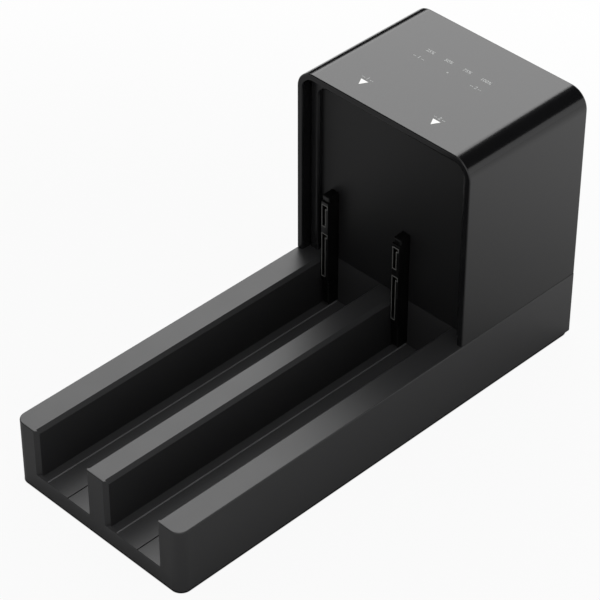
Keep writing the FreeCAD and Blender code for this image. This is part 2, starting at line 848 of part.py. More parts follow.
def make_front_panel():
    """Plate behind the bezel with a slot for each socket and bosses for the board."""
    body = new_body("front_panel")
    outer = hood_half - size.fit_gap
    top = hood_ceiling - size.fit_gap
    radius = hood_inner_round - size.fit_gap
    outline = new_sketch(body, "panel_outline", "XZ_Plane", -panel_front)
    low = size.base_height + size.fit_gap
    rounded_rectangle(outline, -outer, outer, low, top, (None, None, radius, radius))
    pad(body, outline, size.panel_thickness, reverse=True)
    bosses = new_sketch(body, "panel_bosses", "XZ_Plane", -panel_back)
    for x, z in drive_board_screw_places:
        circle(bosses, x, z, size.screw_boss / 2)
    pad(body, bosses, size.panel_boss_height, reverse=True)
    slots = new_sketch(body, "panel_socket_slots", "XZ_Plane", -panel_front)
    for side in SIDES.values():
        left, right = socket_slot_span(side)
        rectangle(slots, left, right, low - past, size.guard_high + size.socket_slot_gap)
    pocket(body, slots, size.panel_thickness + past)
    pilots = new_sketch(body, "panel_pilots", "XZ_Plane", -drive_board_front)
    for x, z in drive_board_screw_places:
        circle(pilots, x, z, size.small_screw_radius)
    pocket(body, pilots, size.panel_boss_height + size.pilot_past, reverse=True)
    return node(body, "front_panel")


def make_bay_liner(name, side):
    """Moulded strip on a bay's floor: a gutter, a bead and a groove run along it."""
    body = new_body(f"bay_liner_{name}")
    left = bay_left_wall(side)
    profile = new_sketch(body, f"liner_profile_{name}", "XZ_Plane", -front)
    top = size.bay_floor
    bead = left + size.liner_bead_place
    groove = left + size.liner_groove_place
    polygon(profile, [
        (left + size.fit_gap, channel_floor), (left + bay_width - size.fit_gap, channel_floor),
        (left + bay_width - size.fit_gap, top), (groove + size.liner_groove_width, top),
        (groove + size.liner_groove_width, top - size.liner_groove_depth),
        (groove, top - size.liner_groove_depth), (groove, top), (bead + size.liner_bead_width, top),
        (bead + size.liner_bead_width, top + size.liner_bead_height), (bead, top + size.liner_bead_height),
        (bead, top), (left + size.fit_gap, top)])
    pad(body, profile, panel_front - size.fit_gap - front, reverse=True)
    gutter = new_sketch(body, f"liner_gutter_{name}", "XY_Plane", top)
    rectangle(gutter, left, bead, front + size.liner_front_lip, panel_front)
    pocket(body, gutter, size.liner_gutter_depth)
    return node(body, f"bay_liner_{name}")


# Drive sockets
socket_front = panel_front - size.socket_front_reach
guard_front = panel_front - size.guard_reach


def make_socket_guard(name, side):
    """Pillar that hugs the socket above and below and stands against the board."""
    left, right = socket_span(side)
    high, gap = size.guard_high, size.guard_gap
    body = new_body(f"socket_guard_{name}")
    pillar = new_sketch(body, f"guard_pillar_{name}", "XZ_Plane", -guard_front)
    rectangle(pillar, left, right, guard_low, high)
    pad(body, pillar, drive_board_front - guard_front, reverse=True)

    def front_corner(edge):
        ends = [vertex.Point for vertex in edge.Vertexes]
        return all(near(end.y, guard_front) for end in ends)

    edge_break(body, "Fillet", size.guard_edge_break, front_corner)
    flange = new_sketch(body, f"guard_flange_{name}", "XZ_Plane", -seat_front)
    rectangle(
        flange, left - size.guard_flange, right + size.guard_flange,
        guard_low + size.guard_flange_inset, high - size.guard_flange_inset)
    pad(body, flange, drive_board_front - seat_front, reverse=True)
    room = new_sketch(body, f"guard_room_{name}", "XZ_Plane", past - guard_front)
    rectangle(room, left - gap, right + gap, size.socket_low - gap, size.socket_high + gap)
    pocket(body, room, drive_board_front - guard_front + 2 * past)
    return node(body, f"socket_guard_{name}")


def make_drive_socket(name, side):
    """Socket body with a power slot and a data slot, each with its key."""
    left, right = socket_span(side)
    body = new_body(f"drive_socket_{name}")
    block_face = new_sketch(body, f"socket_face_{name}", "XZ_Plane", -socket_front)
    rectangle(block_face, left, right, size.socket_low, size.socket_high)
    pad(body, block_face, drive_board_front - socket_front, reverse=True)

    def at_front(edge):
        ends = [vertex.Point for vertex in edge.Vertexes]
        return all(near(end.y, socket_front) for end in ends)

    edge_break(body, "Fillet", size.socket_edge_break, at_front)
    slot_left = left + size.socket_slot_inset
    slot_right = slot_left + size.socket_slot_width
    key_right = slot_right + size.socket_key
    slots = new_sketch(body, f"socket_slots_{name}", "XZ_Plane", -socket_front)
    for low, high in (
            (size.power_slot_low, size.power_slot_high), (size.data_slot_low, size.data_slot_high)):
        key_low = high - size.socket_key
        polygon(slots, [
            (slot_left, low), (slot_right, low), (slot_right, key_low), (key_right, key_low),
            (key_right, high), (slot_left, high)])
    pocket(body, slots, size.socket_slot_depth)

    inside_left = (left + size.slot_edge_break).value
    inside_right = (right - size.slot_edge_break).value

    def round_slots(edge):
        points = [vertex.Point for vertex in edge.Vertexes]
        return at_front(edge) and all(inside_left < point.x < inside_right for point in points)

    edge_break(body, "Chamfer", size.slot_edge_break, round_slots)
    return node(body, f"drive_socket_{name}")


def make_socket_contacts(name, side):
    """Rows of spring contacts that lie on one wall of each slot."""
    left = socket_span(side)[0] + size.socket_slot_inset
    depth = (socket_front + size.contact_inset, socket_front + size.contact_inset + size.contact_length)
    rows = (
        ("power", POWER_CONTACTS, size.power_slot_low, size.power_slot_high),
        ("data", DATA_CONTACTS, size.data_slot_low, size.data_slot_high))
    contacts = []
    for label, count, low, high in rows:
        for index, shift in enumerate(evenly(count, size.contact_pitch), start=1):
            z = (low + high) / 2 + shift
            contacts.append(block(
                f"contact_{label}_{name}_{index}", (left, left + size.contact_thickness), depth,
                (z - size.contact_width / 2, z + size.contact_width / 2)))
    return node(group(f"contacts_{name}", contacts), f"socket_contacts_{name}")


# Circuit boards and what they carry
screw_inset = size.board_screw_inset
drive_board_screw_places = [
    (side * (size.drive_board_half - screw_inset), drive_board_high - screw_inset)
    for side in SIDES.values()]
drive_board_screw_places += [
    (bay_centre(side) + size.low_screw_shift, size.base_height + size.low_screw_rise)
    for side in SIDES.values()]
board_screw_places = mirrored_pairs(
    size.main_board_half - screw_inset,
    (main_board_front + screw_inset, main_board_back - size.main_screw_back))
lamp_front = panel_back + size.lamp_board_front
lamp_screw_places = mirrored_pairs(
    size.lamp_board_half - screw_inset,
    (lamp_front + screw_inset, lamp_front + size.lamp_board_length - screw_inset))
lamp_places = [(x, back - size.lamp_row_back) for x in evenly(PROGRESS_LAMPS, size.lamp_pitch)]
lamp_places += [(x, back - size.lamp_row_front) for x in evenly(STATUS_LAMPS, size.lamp_row_half)]
foot_places = mirrored_pairs(size.foot_inset_x, (front + size.foot_inset_y, back - size.foot_inset_y))
cover_screw_places = tray_boss_places + post_places


def make_drive_board():
    """Upright board behind the front panel."""
    board = block(
        "drive_board_plate", (-size.drive_board_half, size.drive_board_half),
        (drive_board_front, drive_board_back), (size.drive_board_low, drive_board_high))
    holes = [
        rod(f"drive_board_hole_{index}", size.small_screw_radius + size.hole_gap,
            size.board_thickness + 2 * past, (x, drive_board_front - past, z), "y")
        for index, (x, z) in enumerate(drive_board_screw_places)]
    return node(cut("drive_board_cut", board, holes), "drive_board")


def make_chip(name, x, rise, width, height, thickness):
    """A packaged chip on the upright board's back, with legs along its top and bottom."""
    z = size.base_height + rise
    low = drive_board_back + size.chip_standoff
    body = block(
        f"{name}_body", (x - width / 2, x + width / 2), (low, low + thickness),
        (z - height / 2, z + height / 2))
    count = int(width.value / SIZES["leg_pitch"])
    reach = height / 2 + size.leg_reach
    legs = [
        block(f"{name}_leg_{index}", (x + shift - size.leg_width / 2, x + shift + size.leg_width / 2),
              (drive_board_back, drive_board_back + size.leg_thickness), (z - reach, z + reach))
        for index, shift in enumerate(evenly(count, size.leg_pitch))]
    return node(joined(f"{name}_whole", [body] + legs), name)


def on_board_back(name, x, rise, width, height, thickness):
    """A plain block that stands on the upright board's back."""
    z = size.base_height + rise
    return block(
        name, (x - width / 2, x + width / 2), (drive_board_back, drive_board_back + thickness),
        (z - height / 2, z + height / 2))


def make_drive_board_parts():
    """Controller, memory, crystal and inductors on the upright board's back."""
    make_chip(
        "controller_chip", size.controller_x, size.controller_rise, size.controller_side,
        size.controller_side, size.controller_thickness)
    make_chip(
        "memory_chip", size.memory_x, size.memory_rise, size.memory_width, size.memory_height,
        size.memory_thickness)
    crystal = on_board_back(
        "crystal_can", size.crystal_x, size.crystal_rise, size.crystal_width, size.crystal_height,
        size.crystal_thickness)
    node(crystal, "crystal")
    inductors = [
        on_board_back(
            f"inductor_{label}", side * size.inductor_x, size.inductor_rise, size.inductor_side,
            size.inductor_side, size.inductor_thickness)
        for label, side in SIDES.items()]
    node(group("inductors_group", inductors), "drive_power_inductors")


def make_main_board():
    """Level board on the cover's standoffs, with the ports along its back edge."""
    board = block(
        "main_board_plate", (-size.main_board_half, size.main_board_half),
        (main_board_front, main_board_back), (size.main_board_height, main_board_top))
    holes = [
        rod(f"main_board_hole_{index}", size.screw_radius + size.hole_gap, size.board_thickness + 2 * past,
            (x, y, size.main_board_height - past))
        for index, (x, y) in enumerate(board_screw_places)]
    node(cut("main_board_cut", board, holes), "main_board")
    can_places = (-size.capacitor_x, size.capacitor_pitch - size.capacitor_x, size.capacitor_x)
    cans = [
        rod(f"capacitor_{index}", size.capacitor_radius, size.capacitor_height,
            (x, main_board_front + size.capacitor_front, main_board_top))
        for index, x in enumerate(can_places)]
    node(group("capacitors_group", cans), "power_capacitors")
    header = block(
        "board_link_block", (-size.link_header_half, size.link_header_half),
        (drive_board_back, drive_board_back + size.header_depth),
        (main_board_top, main_board_top + size.header_height))
    node(header, "board_link_header")


def make_lamp_board():
    """Small board under the ceiling with the status lamps and their light guides."""
    low, high = lamp_board_top - size.board_thickness, lamp_board_top
    board = block(
        "lamp_board_plate", (-size.lamp_board_half, size.lamp_board_half),
        (lamp_front, lamp_front + size.lamp_board_length), (low, high))
    holes = [
        rod(f"lamp_board_hole_{index}", size.small_screw_radius + size.hole_gap,
            size.board_thickness + 2 * past, (x, y, low - past))
        for index, (x, y) in enumerate(lamp_screw_places)]
    node(cut("lamp_board_cut", board, holes), "lamp_board")
    lamps = [
        block(f"lamp_{index}", (x - size.lamp_width / 2, x + size.lamp_width / 2),
              (y - size.lamp_length / 2, y + size.lamp_length / 2), (high, high + size.lamp_height))
        for index, (x, y) in enumerate(lamp_places)]
    node(group("lamps_group", lamps), "status_lamps")
    guide_low = high + size.lamp_height + size.guide_gap
    guides = [
        rod(f"light_guide_{index}", size.guide_radius, hood_ceiling - guide_low, (x, y, guide_low))
        for index, (x, y) in enumerate(lamp_places)]
    node(group("guides_group", guides), "light_guides")
    header = block(
        "lamp_link_block", (-size.lamp_header_half, size.lamp_header_half),
        (drive_board_back, drive_board_back + size.header_depth),
        (low - size.header_height, low))
    node(header, "lamp_link_header")


# Ports
def make_port_panel():
    """Plate behind the opening in the tray's back wall, cut out for each port."""
    lap, gap = size.port_lap, size.port_gap
    plate = block(
        "port_plate", (-port_half - lap, port_half + lap),
        (port_panel_front, seat_back), (size.port_low - lap, size.port_high + lap))
    through = (port_panel_front - past, seat_back + past)
    usb = block(
        "port_usb", (usb_x - size.usb_width / 2 - gap, usb_x + size.usb_width / 2 + gap),
        through, (main_board_top - gap, main_board_top + size.usb_height + gap))
    jack = block(
        "port_jack", (jack_x - size.jack_width / 2 - gap, jack_x + size.jack_width / 2 + gap),
        through, (main_board_top - gap, main_board_top + size.jack_height + gap))
    half_length = size.switch_body_length / 2 + size.hole_gap
    half_height = size.switch_body_height / 2 + size.hole_gap
    switch = block(
        "port_switch", (switch_x - half_length, switch_x + half_length), through,
        (size.switch_height - half_height, size.switch_height + half_height))
    button = rod(
        "port_button", size.button_radius + size.button_gap, size.port_panel_thickness + 2 * past,
        (button_x, port_panel_front - past, size.button_height), "y")
    return node(cut("port_cut", plate, [usb, jack, switch, button]), "port_panel")


def make_usb_socket():
    """Metal shell with a plastic insert that leaves a stepped mouth and two tongues."""
    x, wall = usb_x, size.usb_wall
    half = size.usb_width / 2
    face = seat_back + size.usb_proud
    rear = face - size.usb_depth
    low, high = main_board_top, main_board_top + size.usb_height
    shell = new_body("usb_shell")
    outline = new_sketch(shell, "usb_shell_outline", "XZ_Plane", -rear)
    rounded_rectangle(outline, x - half, x + half, low, high, (size.usb_round,) * 4)
    pad(shell, outline, face - rear, reverse=True)
    room = new_sketch(shell, "usb_shell_room", "XZ_Plane", -face)
    inside = (x - half + wall, x + half - wall, low + wall, high - wall)
    inner_rounds = (size.usb_round - wall,) * 4
    rounded_rectangle(room, *inside, inner_rounds)
    pocket(shell, room, face - rear - wall, reverse=True)
    node(shell, "usb_shell")

    insert = new_body("usb_insert_block")
    insert_outline = new_sketch(insert, "usb_insert_outline", "XZ_Plane", -rear - wall)
    rounded_rectangle(insert_outline, *inside, inner_rounds)
    pad(insert, insert_outline, face - size.usb_insert_inset - rear - wall, reverse=True)
    mouth_low = low + wall + size.usb_mouth_rise

    def across(name, width, y, bottom, top):
        return block(name, (x - width / 2, x + width / 2), y, (mouth_low + bottom, mouth_low + top))

    mouth_y = (face - size.usb_mouth_depth, face + past)
    mouth = joined("usb_mouth", [
        across("usb_mouth_wide", size.usb_mouth_width, mouth_y, 0, size.usb_mouth_height),
        across("usb_mouth_step", size.usb_step_width, mouth_y, 0, size.usb_step_height),
        across("usb_mouth_top", size.usb_top_width, mouth_y, 0, size.usb_top_height)])
    hollow = cut("usb_insert_cut", insert, [mouth])
    tongue_y = (mouth_y[0] - size.usb_tongue_root, face - size.usb_tongue_inset)
    tongue = across(
        "usb_tongue", size.usb_top_width, tongue_y, size.usb_tongue_low, size.usb_tongue_high)
    fast_tongue = across(
        "usb_fast_tongue", size.usb_fast_tongue_width, tongue_y, size.usb_fast_tongue_low,
        size.usb_fast_tongue_high)
    node(joined("usb_insert_whole", [hollow, tongue, fast_tongue]), "usb_insert")

    contact_y = (face - size.usb_contact_back, face - size.usb_contact_front)

    def contact(name, shift, width, bottom):
        place = x + shift
        return block(
            name, (place - width / 2, place + width / 2), contact_y,
            (mouth_low + bottom, mouth_low + bottom + size.usb_contact_thickness))

    strips = [
        contact(f"usb_contact_{label}_{index}", side * size.usb_contact_x, size.usb_contact_width, bottom)
        for label, side in SIDES.items()
        for index, bottom in enumerate(
            (size.usb_tongue_high, size.usb_tongue_low - size.usb_contact_thickness))]
    strips += [
        contact(f"usb_fast_contact_{index}", shift, size.usb_fast_contact_width,
                size.usb_fast_tongue_low - size.usb_contact_thickness)
        for index, shift in enumerate(evenly(USB_FAST_CONTACTS, size.usb_fast_contact_pitch))]
    node(group("usb_contacts_group", strips), "usb_contacts")


def make_power_jack():
    """Barrel jack: a moulded block with a round bore and a centre pin."""
    half = size.jack_width / 2
    y = (seat_back - size.jack_depth, seat_back)
    middle = main_board_top + size.jack_bore_rise
    body = new_body("power_jack")
    outline = new_sketch(body, "jack_outline", "XZ_Plane", -y[0])
    rounded_rectangle(
        outline, jack_x - half, jack_x + half, main_board_top, main_board_top + size.jack_height,
        (None, None, size.jack_round, size.jack_round))
    pad(body, outline, size.jack_depth, reverse=True)
    bore = new_sketch(body, "jack_bore", "XZ_Plane", -y[1])
    circle(bore, jack_x, middle, size.jack_bore)
    pocket(body, bore, size.jack_bore_depth, reverse=True)

    def round_mouth(edge):
        return isinstance(edge.Curve, Part.Circle) and near(edge.Curve.Radius, size.jack_bore) and near(
            edge.Curve.Center.y, y[1])

    edge_break(body, "Chamfer", size.jack_mouth_chamfer, round_mouth)
    node(body, "power_jack")
    pin = rod(
        "jack_pin_rod", size.jack_pin, size.jack_bore_depth - size.jack_pin_inset,
        (jack_x, y[1] - size.jack_bore_depth, middle), "y")
    node(pin, "power_jack_pin")
    gap = size.jack_spring_gap
    spring_low = middle - size.jack_bore + gap
    spring = block(
        "jack_spring_leaf",
        (jack_x - size.jack_spring_width / 2, jack_x + size.jack_spring_width / 2),
        (y[1] - size.jack_bore_depth + gap, y[1] - size.jack_spring_inset),
        (spring_low, spring_low + size.jack_spring_thickness))
    node(spring, "power_jack_spring")


# Power rocker
rocker_y = seat_back - size.rocker_pivot
rocker_half_height = size.switch_body_height / 2 - size.switch_wall - size.rocker_gap


def make_power_switch():
    """Snap-in frame of the power switch with pivot holes and two terminals."""
    x, z = switch_x, size.switch_height
    flange_back = seat_back + size.switch_flange_thickness
    can_back = seat_back - size.switch_depth
    length, height = size.switch_body_length / 2, size.switch_body_height / 2
    body = new_body("switch_frame")
    flange = new_sketch(body, "switch_flange", "XZ_Plane", -seat_back)
    rounded_rectangle(
        flange, x - size.switch_flange_length / 2, x + size.switch_flange_length / 2,
        z - size.switch_flange_height / 2, z + size.switch_flange_height / 2,
        (size.switch_flange_round,) * 4)
    pad(body, flange, size.switch_flange_thickness, reverse=True)

    def flange_rim(edge):
        return all(near(vertex.Point.y, flange_back) for vertex in edge.Vertexes)

    edge_break(body, "Fillet", size.switch_edge_break, flange_rim)
    can = new_sketch(body, "switch_can", "XZ_Plane", -seat_back)
    rectangle(can, x - length, x + length, z - height, z + height)
    pad(body, can, size.switch_depth)
    wall = size.switch_wall
    room = new_sketch(body, "switch_room", "XZ_Plane", -flange_back)
    rectangle(room, x - length + wall, x + length - wall, z - height + wall, z + height - wall)
    pocket(body, room, size.switch_flange_thickness + size.switch_room_depth, reverse=True)
    hole = new_sketch(body, "switch_pivot_hole", "XY_Plane", z - height + size.switch_skin)
    circle(hole, x, rocker_y, size.rocker_pin + size.rocker_pin_gap)
    pocket(body, hole, size.switch_body_height - 2 * size.switch_skin, reverse=True)
    node(body, "switch_frame")
    terminal_y = (can_back - size.terminal_length, can_back)
    half_thick = size.terminal_thickness / 2
    terminals = []
    for label, side in SIDES.items():
        middle = x + side * size.terminal_x
        terminals.append(block(
            f"terminal_{label}", (middle - size.terminal_width / 2, middle + size.terminal_width / 2),
            terminal_y, (z - half_thick, z + half_thick)))
    node(group("terminals_group", terminals), "switch_terminals")


def make_power_rocker():
    """Rocker with a shallow V face and two pivot pins, tilted to its off position."""
    body = new_body("power_rocker")
    half = size.switch_body_length / 2 - size.switch_wall - size.rocker_end_gap
    face = size.rocker_face
    profile = new_sketch(body, "rocker_profile", "XY_Plane", -rocker_half_height)
    side, depth = half - size.rocker_side_inset, -size.rocker_side_depth
    polygon(profile, [
        (-half, face), (-side, depth), (ZERO, -size.rocker_keel), (side, depth), (half, face),
        (ZERO, face - size.rocker_dip)])
    pad(body, profile, 2 * rocker_half_height)

    def round_the_face(edge):
        ends = [vertex.Point for vertex in edge.Vertexes]
        level = all(near(abs(end.z), rocker_half_height) for end in ends) and near(ends[0].z, ends[-1].z)
        return level and all(end.y > 0 for end in ends)

    edge_break(body, "Chamfer", size.rocker_edge_break, round_the_face)
    pin_end = rocker_half_height + size.rocker_pin_reach
    pins = new_sketch(body, "rocker_pins", "XY_Plane", -pin_end)
    circle(pins, ZERO, ZERO, size.rocker_pin)
    pad(body, pins, 2 * pin_end)
    body.Placement = FreeCAD.Placement(
        FreeCAD.Vector(), FreeCAD.Rotation(FreeCAD.Vector(0, 0, -1), SIZES["rocker_tilt_deg"]))
    body.setExpression("Placement.Rotation.Angle", f"{size.rocker_tilt_deg.text} * 1 deg")
    for axis, dim in zip("xyz", (switch_x, rocker_y, size.switch_height)):
        bind(body, f"Placement.Base.{axis}", dim)
    return node(body, "power_rocker")


# Duplicate button
def make_duplicate_button():
    """Sprung cap with a retaining flange and a stem, in front of a small switch on the board."""
    x, z = button_x, size.button_height
    cap_face = seat_back + size.button_proud
    flange_back = port_panel_front - size.button_gap
    stem_end = flange_back - size.button_flange - size.button_stem_length
    body = new_body("duplicate_button")
    cap = new_sketch(body, "button_cap", "XZ_Plane", -flange_back)
    circle(cap, x, z, size.button_radius)
    pad(body, cap, cap_face - flange_back, reverse=True)
    edge_break(
        body, "Fillet", size.button_edge_break,
        lambda edge: all(near(vertex.Point.y, cap_face) for vertex in edge.Vertexes))
    flange = new_sketch(body, "button_flange", "XZ_Plane", -flange_back)
    circle(flange, x, z, size.button_radius + size.button_flange_rise)
    pad(body, flange, size.button_flange)
    stem = new_sketch(body, "button_stem", "XZ_Plane", -flange_back)
    circle(stem, x, z, size.button_stem_radius)
    pad(body, stem, flange_back - stem_end)
    node(body, "duplicate_button")

    tact_face = stem_end - size.button_travel - size.plunger_proud
    tact_back = tact_face - size.tact_depth
    half = size.tact_size / 2
    housing = block("tact_housing", (x - half, x + half), (tact_back, tact_face), (z - half, z + half))
    bracket = block(
        "tact_bracket_plate", (x - half, x + half), (tact_back - size.tact_bracket, tact_back),
        (main_board_top, z + half))
    hole = rod(
        "tact_hole", size.plunger_radius + size.plunger_gap, size.plunger_room + past,
        (x, tact_face - size.plunger_room, z), "y")
    node(cut("tact_cut", joined("tact_whole", [housing, bracket]), [hole]), "duplicate_switch")
    plunger_back = tact_face - size.plunger_depth
    plunger = rod(
        "tact_plunger", size.plunger_radius, stem_end - plunger_back, (x, plunger_back, z), "y")
    node(plunger, "duplicate_switch_plunger")


# Fasteners and feet
def screw(name, head_start, head_radius, shank_start, shank_radius, length, axis="z"):
    """A pan-head screw that runs along an axis, its head and its shank each from its start point."""
    head = rod(f"{name}_head", head_radius, size.screw_head_height, head_start, axis)
    shank = rod(f"{name}_shank", shank_radius, length, shank_start, axis)
    return joined(name, [head, shank])


def make_fasteners():
    """Screws of the cover, of the boards and of the lamp board, and the feet."""
    radius = size.screw_radius - size.thread_gap
    small_radius = size.small_screw_radius - size.thread_gap
    cover = [
        screw(f"cover_screw_{index}", (x, y, underside), size.screw_head_radius,
              (x, y, underside), radius, size.screw_length)
        for index, (x, y) in enumerate(cover_screw_places)]
    node(group("cover_screws_group", cover), "cover_screws")

    shank_low = cover_top + size.screw_end_gap
    board = [
        screw(f"main_screw_{index}", (x, y, main_board_top), size.screw_head_radius,
              (x, y, shank_low), radius, main_board_top - shank_low)
        for index, (x, y) in enumerate(board_screw_places)]
    grip = size.pilot_past - size.screw_end_gap
    reach = size.board_thickness + size.panel_boss_height + grip
    board += [
        screw(f"drive_screw_{index}", (x, drive_board_back, z), size.small_head_radius,
              (x, drive_board_back - reach, z), small_radius, reach, "y")
        for index, (x, z) in enumerate(drive_board_screw_places)]
    lamp_low = lamp_board_top - size.board_thickness
    board += [
        screw(f"lamp_screw_{index}", (x, y, lamp_low - size.screw_head_height), size.small_head_radius,
              (x, y, lamp_low), small_radius, hood_ceiling - lamp_low + grip)
        for index, (x, y) in enumerate(lamp_screw_places)]
    node(group("board_screws_group", board), "board_screws")
    feet = [
        rod(f"foot_{index}", size.foot_radius, size.foot_stand + size.foot_recess, (x, y, ZERO))
        for index, (x, y) in enumerate(foot_places)]
    node(group("feet_group", feet), "rubber_feet")


make_base_tray()
make_bottom_cover()
make_tower_hood()
make_panel_bezel()
make_front_panel()
for bay, bay_side in SIDES.items():
    make_bay_liner(bay, bay_side)
    make_socket_guard(bay, bay_side)
    make_drive_socket(bay, bay_side)
    make_socket_contacts(bay, bay_side)
make_drive_board()
make_drive_board_parts()
make_main_board()
make_lamp_board()
make_port_panel()
make_usb_socket()
make_power_jack()
make_power_switch()
make_power_rocker()
make_duplicate_button()
make_fasteners()
doc.recompute()

failed = [item.Name for item in doc.Objects if {"Invalid", "Error"} & set(item.State)]
if failed:
    raise RuntimeError(f"these objects failed: {failed}")
for piece in nodes:
    if piece.Shape.isNull() or not piece.Shape.isValid() or not piece.Shape.Solids:
        raise RuntimeError(f"{piece.Label} has no valid solid")

os.makedirs("parts", exist_ok=True)
for piece in nodes:
    piece.Shape.exportStep(f"parts/{piece.Label}.step")
    print(piece.Label, len(piece.Shape.Solids), "solids", round(piece.Shape.Volume, 1), "mm3")
print(len(nodes), "nodes")
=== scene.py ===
"""Looks of the drive duplicator: its finishes, its printed marks and its small fittings.

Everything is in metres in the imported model's frame: X to the right, Y from the open front of the
bays to the tower's back, Z up from the table. The pieces made here are worked out in millimetres
and turned to metres when their mesh is made.
"""
from __future__ import annotations

import json
import logging
import math
from dataclasses import dataclass, field
from enum import Enum

import bmesh
import bpy
import numpy as np
from mathutils import Matrix, Vector

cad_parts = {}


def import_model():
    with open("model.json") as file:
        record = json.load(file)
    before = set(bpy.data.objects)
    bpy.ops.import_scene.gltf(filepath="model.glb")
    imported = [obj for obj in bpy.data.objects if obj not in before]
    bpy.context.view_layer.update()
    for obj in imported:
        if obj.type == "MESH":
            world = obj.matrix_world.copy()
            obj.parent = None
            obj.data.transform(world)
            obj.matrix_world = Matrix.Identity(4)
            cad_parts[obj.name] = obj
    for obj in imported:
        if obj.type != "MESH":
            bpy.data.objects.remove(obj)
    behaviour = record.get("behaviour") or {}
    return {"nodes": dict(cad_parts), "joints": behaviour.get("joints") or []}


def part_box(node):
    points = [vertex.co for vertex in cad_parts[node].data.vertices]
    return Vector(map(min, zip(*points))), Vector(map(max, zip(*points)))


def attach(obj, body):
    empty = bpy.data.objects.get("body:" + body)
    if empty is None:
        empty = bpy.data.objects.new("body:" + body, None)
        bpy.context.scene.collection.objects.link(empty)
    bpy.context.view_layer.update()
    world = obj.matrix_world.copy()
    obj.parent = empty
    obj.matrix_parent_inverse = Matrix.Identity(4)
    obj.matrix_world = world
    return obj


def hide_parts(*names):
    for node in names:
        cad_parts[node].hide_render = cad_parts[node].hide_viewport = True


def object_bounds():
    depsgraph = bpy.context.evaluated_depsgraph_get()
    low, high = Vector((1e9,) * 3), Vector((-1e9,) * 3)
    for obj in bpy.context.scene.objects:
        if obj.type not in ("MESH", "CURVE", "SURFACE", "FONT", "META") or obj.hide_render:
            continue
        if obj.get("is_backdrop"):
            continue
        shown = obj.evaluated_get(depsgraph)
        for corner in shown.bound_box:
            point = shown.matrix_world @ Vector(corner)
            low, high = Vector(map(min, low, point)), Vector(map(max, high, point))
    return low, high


log = logging.getLogger("drive_duplicator")
MM = 0.001
SRGB_TOE, SRGB_TOE_SLOPE, SRGB_LIFT, SRGB_POWER = 0.04045, 12.92, 0.055, 2.4
Faces = list[tuple[int, ...]]
Skin = tuple[np.ndarray, Faces]


class Body(Enum):
    """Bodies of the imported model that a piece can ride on."""

    HOUSING = "housing"
    ROCKER = "power_rocker"


class Facing(Enum):
    """Which way a fitting's outer face looks: the directions that its own X, Y and Z axes get."""

    UP = ((1.0, 0.0, 0.0), (0.0, 1.0, 0.0), (0.0, 0.0, 1.0))
    DOWN = ((1.0, 0.0, 0.0), (0.0, -1.0, 0.0), (0.0, 0.0, -1.0))
    BACK = ((-1.0, 0.0, 0.0), (0.0, 0.0, 1.0), (0.0, 1.0, 0.0))

    def place(self, points: np.ndarray, spot: np.ndarray) -> np.ndarray:
        """Turns points from the fitting's own axes and carries them to their spot.

        Args:
            points: Rows of x, y, z with +Z towards the outside.
            spot: Where the fitting's origin goes.

        Returns:
            Each own axis's share times the direction that the axis gets, added up, plus the spot.
        """
        return points @ np.array(self.value) + spot


def linear(hex_colour: str) -> tuple[float, float, float, float]:
    """Turns an sRGB hex colour to the linear colour that shaders take.

    A part in the toe of the curve is divided by the toe's slope. Any other is lifted, scaled back
    and raised to the curve's power.

    Args:
        hex_colour: Colour such as "#1C1C1D".

    Returns:
        Red, green, blue and an alpha of 1.
    """
    parts = [int(hex_colour[place:place + 2], 16) / 255 for place in (1, 3, 5)]
    red, green, blue = (
        part / SRGB_TOE_SLOPE if part <= SRGB_TOE
        else ((part + SRGB_LIFT) / (1 + SRGB_LIFT)) ** SRGB_POWER for part in parts)
    return red, green, blue, 1.0


def bare_material(name: str) -> bpy.types.Material:
    """Makes a material whose node tree is still empty.

    Args:
        name: The material's name.

    Returns:
        The new material.
    """
    material = bpy.data.materials.new(name)
    material.use_nodes = True
    material.node_tree.nodes.clear()
    return material


def add_node(
        tree: bpy.types.NodeTree, kind: str, settings: dict[str, object] | None = None,
        inputs: dict[str | int, object] | None = None) -> bpy.types.Node:
    """Adds a shader node, sets its properties and feeds its inputs.

    Args:
        tree: Node tree that gets the node.
        kind: The node's type name.
        settings: Property names with their values.
        inputs: Socket names or numbers, each with a value or with the output that feeds it.

    Returns:
        The new node.
    """
    node = tree.nodes.new(kind)
    for name, value in (settings or {}).items():
        setattr(node, name, value)
    for name, value in (inputs or {}).items():
        if isinstance(value, bpy.types.NodeSocket):
            tree.links.new(value, node.inputs[name])
        else:
            node.inputs[name].default_value = value
    return node


